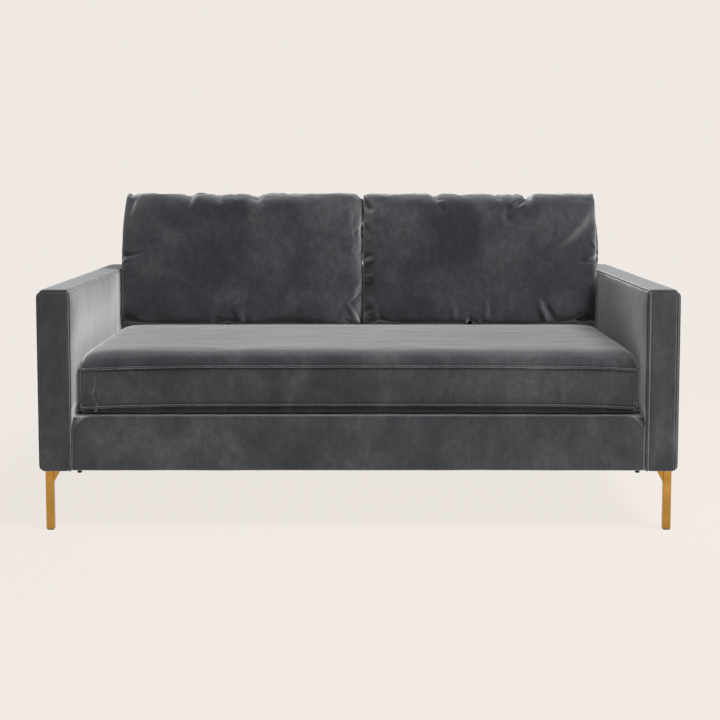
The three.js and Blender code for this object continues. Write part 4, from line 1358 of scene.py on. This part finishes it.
def wrinkle(points, faces, share, side, seed):
    """Adds the front panel's folds, and the small gathers along the seams."""
    u, v, panel = share.T
    x, _, z = points.T
    along = u * SEAM_HALF_WIDTH
    facing = outward_of(points, faces)
    rise = np.zeros(len(points))
    ahead = panel < 0
    for path, width, height in FOLDS[side]:
        rise[ahead] += height * MM * stroke(x[ahead], z[ahead], path, width)
    from_side, from_top = (1 - np.abs(u)) * SEAM_HALF_WIDTH, (1 - v) * SEAM_HALF_HEIGHT
    from_bottom = (1 + v) * SEAM_HALF_HEIGHT
    across_top = ripple(np.column_stack([along, 0 * x, panel * MM]), TOP_GATHER_SIZE, seed)
    across_side = ripple(np.column_stack([np.sign(u), 0 * x, z]), SIDE_GATHER_SIZE, seed + 3)
    rise += SEAM_GATHER * across_top * np.exp(-from_top / TOP_GATHER_FADE)
    rise += SEAM_GATHER * across_side * np.exp(-from_side / SIDE_GATHER_FADE)
    rise += LOWER_GATHER * across_top * np.exp(-from_bottom / SIDE_GATHER_FADE)
    rise += CUSHION_SLACK * ripple(np.column_stack([along, panel * MM, z]), CUSHION_SLACK_SIZE, seed + 5)
    return points + facing * rise[:, None]


def build_back_cushion(side, seed):
    """A loose back cushion, sewn from two panels in a knife edge, and the foam in it."""
    ends = sorted([SIDES[side] * CUSHION_REACH_X[side], CUSHION_MEETING_X])
    half_width = (ends[1] - ends[0]) / 2
    centre = np.array([sum(ends) / 2, CUSHION_CENTRE_Y, CUSHION_CENTRE_Z])
    pattern = Pattern()
    points = inflate(pattern, seed)
    fill_edges(points, pattern, side)
    cap_depth(points)
    even_outline(points, pattern, half_width)
    settle_on_seat(points)
    share = np.column_stack([pattern.u, pattern.v, pattern.panel])
    points, faces = refine(points, pattern.faces, "CATMULL_CLARK")
    share, _ = refine(share, pattern.faces, "SIMPLE")
    points[:, 2] += wave_height(TOP_WAVES[side], points[:, 0]) * smooth_step(share[:, 1], 0.2, 1.0)
    points[:, 2] += wave_height(BOTTOM_WAVES[side], points[:, 0]) * smooth_step(-share[:, 1], 0.5, 1.0)
    points = wrinkle(points, faces, share, side, seed)
    turn = np.array(Euler((CUSHION_TILT, 0, 0)).to_matrix())
    points = points @ turn.T + centre
    press_sides(points, side)
    roll_edges(points, turn, centre, half_width, side)
    round_ear(points, share, side)
    points[:, 0] = SIDES[side] * np.maximum(SIDES[side] * points[:, 0], inner_limit(points, side))
    clearance = np.where(points[:, 1] < ZIP_FRONT_Y, CUSHION_CLEARANCE, FIT)
    points[:, 2] = np.maximum(points[:, 2], seat_height(points[:, 0], points[:, 1]) + clearance)
    piece = add_mesh(f"back_cushion_{side}_velvet", points, faces)
    finish_piece(piece, velvet, "velvet", f"back_cushion_{side}", f"back_cushion_{side}_cover", fill=0.8)

    middle = (points.min(0) + points.max(0)) / 2
    core = add_mesh(f"back_cushion_{side}_foam", middle + (points - middle) * FOAM_SHARE, faces)
    finish_piece(core, foam, "foam", f"back_cushion_{side}", f"back_cushion_{side}_core")


# Legs
def soften(name, node, width, material, slot):
    """A copy of a CAD piece with its edges eased."""
    piece = bpy.data.objects.new(name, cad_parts[node].data.copy())
    bpy.context.scene.collection.objects.link(piece)
    mesh = bmesh.new()
    mesh.from_mesh(piece.data)
    bmesh.ops.remove_doubles(mesh, verts=mesh.verts, dist=MERGE_DISTANCE)
    bmesh.ops.dissolve_limit(mesh, angle_limit=FLAT_ANGLE, verts=mesh.verts, edges=mesh.edges)
    mesh.to_mesh(piece.data)
    mesh.free()
    bevel = piece.modifiers.new("bevel", "BEVEL")
    bevel.width = width
    bevel.segments = 3
    bevel.limit_method = "ANGLE"
    bevel.angle_limit = BEVEL_ANGLE
    bevel.harden_normals = False
    apply_modifiers(piece)
    piece.data.shade_smooth()
    finish_piece(piece, material, slot, "frame", node)


for side in SIDES:
    build_arm(side)
build_rail()
build_back()
build_deck()
build_dust_cover()
build_seat()
for seed, side in enumerate(SIDES):
    build_back_cushion(side, 5 + seed)
for end in ENDS:
    for side in SIDES:
        soften(f"brass_leg_{end}_{side}", f"leg_{end}_{side}", LEG_BEVEL, brass, "brass_leg")

# Finishes of the CAD nodes that are kept as they are, by the start or end of their names
FINISHES = (
    ("glide_", glide_plastic), ("leg_bolt_", bolt_steel), ("seat_spring_", steel),
    ("back_webbing", jute), ("_zip_slider", zip_metal), ("_zip", zip_tape), ("_core", foam),
)
for name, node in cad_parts.items():
    finish = next((m for part, m in FINISHES if name.startswith(part) or name.endswith(part)), wood)
    set_material(node, finish)


# Camera, lamps and stage
def add_camera():
    """The camera in front of the sofa, with its optical axis off the picture's middle."""
    data = bpy.data.cameras.new("camera")
    data.lens = CAMERA_LENS
    data.shift_x = (FRAME_SIZE_PX / 2 - OPTICAL_AXIS_PX[0]) / FRAME_SIZE_PX
    data.shift_y = (OPTICAL_AXIS_PX[1] - FRAME_SIZE_PX / 2) / FRAME_SIZE_PX
    camera = bpy.data.objects.new("camera", data)
    camera.location = CAMERA_PLACE
    camera.rotation_euler = (math.radians(90 + CAMERA_PITCH), 0, 0)
    bpy.context.scene.collection.objects.link(camera)
    bpy.context.scene.camera = camera


def add_lamp(name, place, aim, size, power):
    """A rectangular area lamp at a place, turned to face another."""
    data = bpy.data.lights.new(name, "AREA")
    data.shape = "RECTANGLE"
    data.size, data.size_y = size
    data.energy = power
    lamp = bpy.data.objects.new(name, data)
    lamp.location = place
    lamp.rotation_euler = (Vector(aim) - Vector(place)).to_track_quat("-Z", "Y").to_euler()
    bpy.context.scene.collection.objects.link(lamp)


def show_to_camera(tree, seen, unseen, out):
    """Joins two shaders: one for what the camera and reflections see, one for the light."""
    path = tree.nodes.new("ShaderNodeLightPath")
    ray = path.outputs["Is Camera Ray"]
    for name in ("Is Glossy Ray", "Is Transmission Ray"):
        ray = add_math(tree, "MAXIMUM", ray, path.outputs[name])
    mix = tree.nodes.new("ShaderNodeMixShader")
    tree.links.new(ray, mix.inputs["Fac"])
    tree.links.new(unseen, mix.inputs[1])
    tree.links.new(seen, mix.inputs[2])
    tree.links.new(mix.outputs["Shader"], out.inputs["Surface"])


def add_world():
    """The backdrop's colour where it is seen, and a faint light from all round."""
    world = bpy.data.worlds.new("world")
    bpy.context.scene.world = world
    world.use_nodes = True
    tree = world.node_tree
    tree.nodes.clear()
    out = tree.nodes.new("ShaderNodeOutputWorld")
    seen = tree.nodes.new("ShaderNodeBackground")
    seen.inputs["Color"].default_value = (*BACKDROP, 1)
    unseen = tree.nodes.new("ShaderNodeBackground")
    unseen.inputs["Color"].default_value = (*AMBIENT, 1)
    unseen.inputs["Strength"].default_value = AMBIENT_STRENGTH
    show_to_camera(tree, seen.outputs["Background"], unseen.outputs["Background"], out)


def add_floor():
    """A pale floor: it keeps the sofa's soft shadow near it, and is the plain backdrop further out."""
    half = FLOOR_HALF_SIZE
    corners = [(-half, -half, 0), (half, -half, 0), (half, half, 0), (-half, half, 0)]
    floor = add_mesh("floor", corners, [(0, 1, 2, 3)])
    material, shader, tree = new_material("floor", BACKDROP, 0.9)
    shader.inputs["Specular IOR Level"].default_value = 0.0
    out = tree.nodes["Material Output"]
    plain = tree.nodes.new("ShaderNodeEmission")
    plain.inputs["Color"].default_value = (*BACKDROP, 1)
    where = tree.nodes.new("ShaderNodeTexCoord")
    reach = tree.nodes.new("ShaderNodeVectorMath")
    reach.operation = "LENGTH"
    tree.links.new(where.outputs["Object"], reach.inputs[0])
    share = add_math(tree, "MULTIPLY", reach.outputs["Value"], 1 / FLOOR_FADE_SIZE)
    far = add_ramp(tree, share, (FLOOR_FADE[0], gray(FLOOR_PLAIN_SHARE)), (FLOOR_FADE[1], gray(1.0)))
    mix = tree.nodes.new("ShaderNodeMixShader")
    tree.links.new(far, mix.inputs["Fac"])
    tree.links.new(shader.outputs["BSDF"], mix.inputs[1])
    tree.links.new(plain.outputs["Emission"], mix.inputs[2])
    show_to_camera(tree, mix.outputs["Shader"], shader.outputs["BSDF"], out)
    set_material(floor, material)


add_camera()
for name, values in LAMPS.items():
    add_lamp(name, *values)
add_world()
add_floor()
bpy.context.scene.view_settings.view_transform = "Standard"
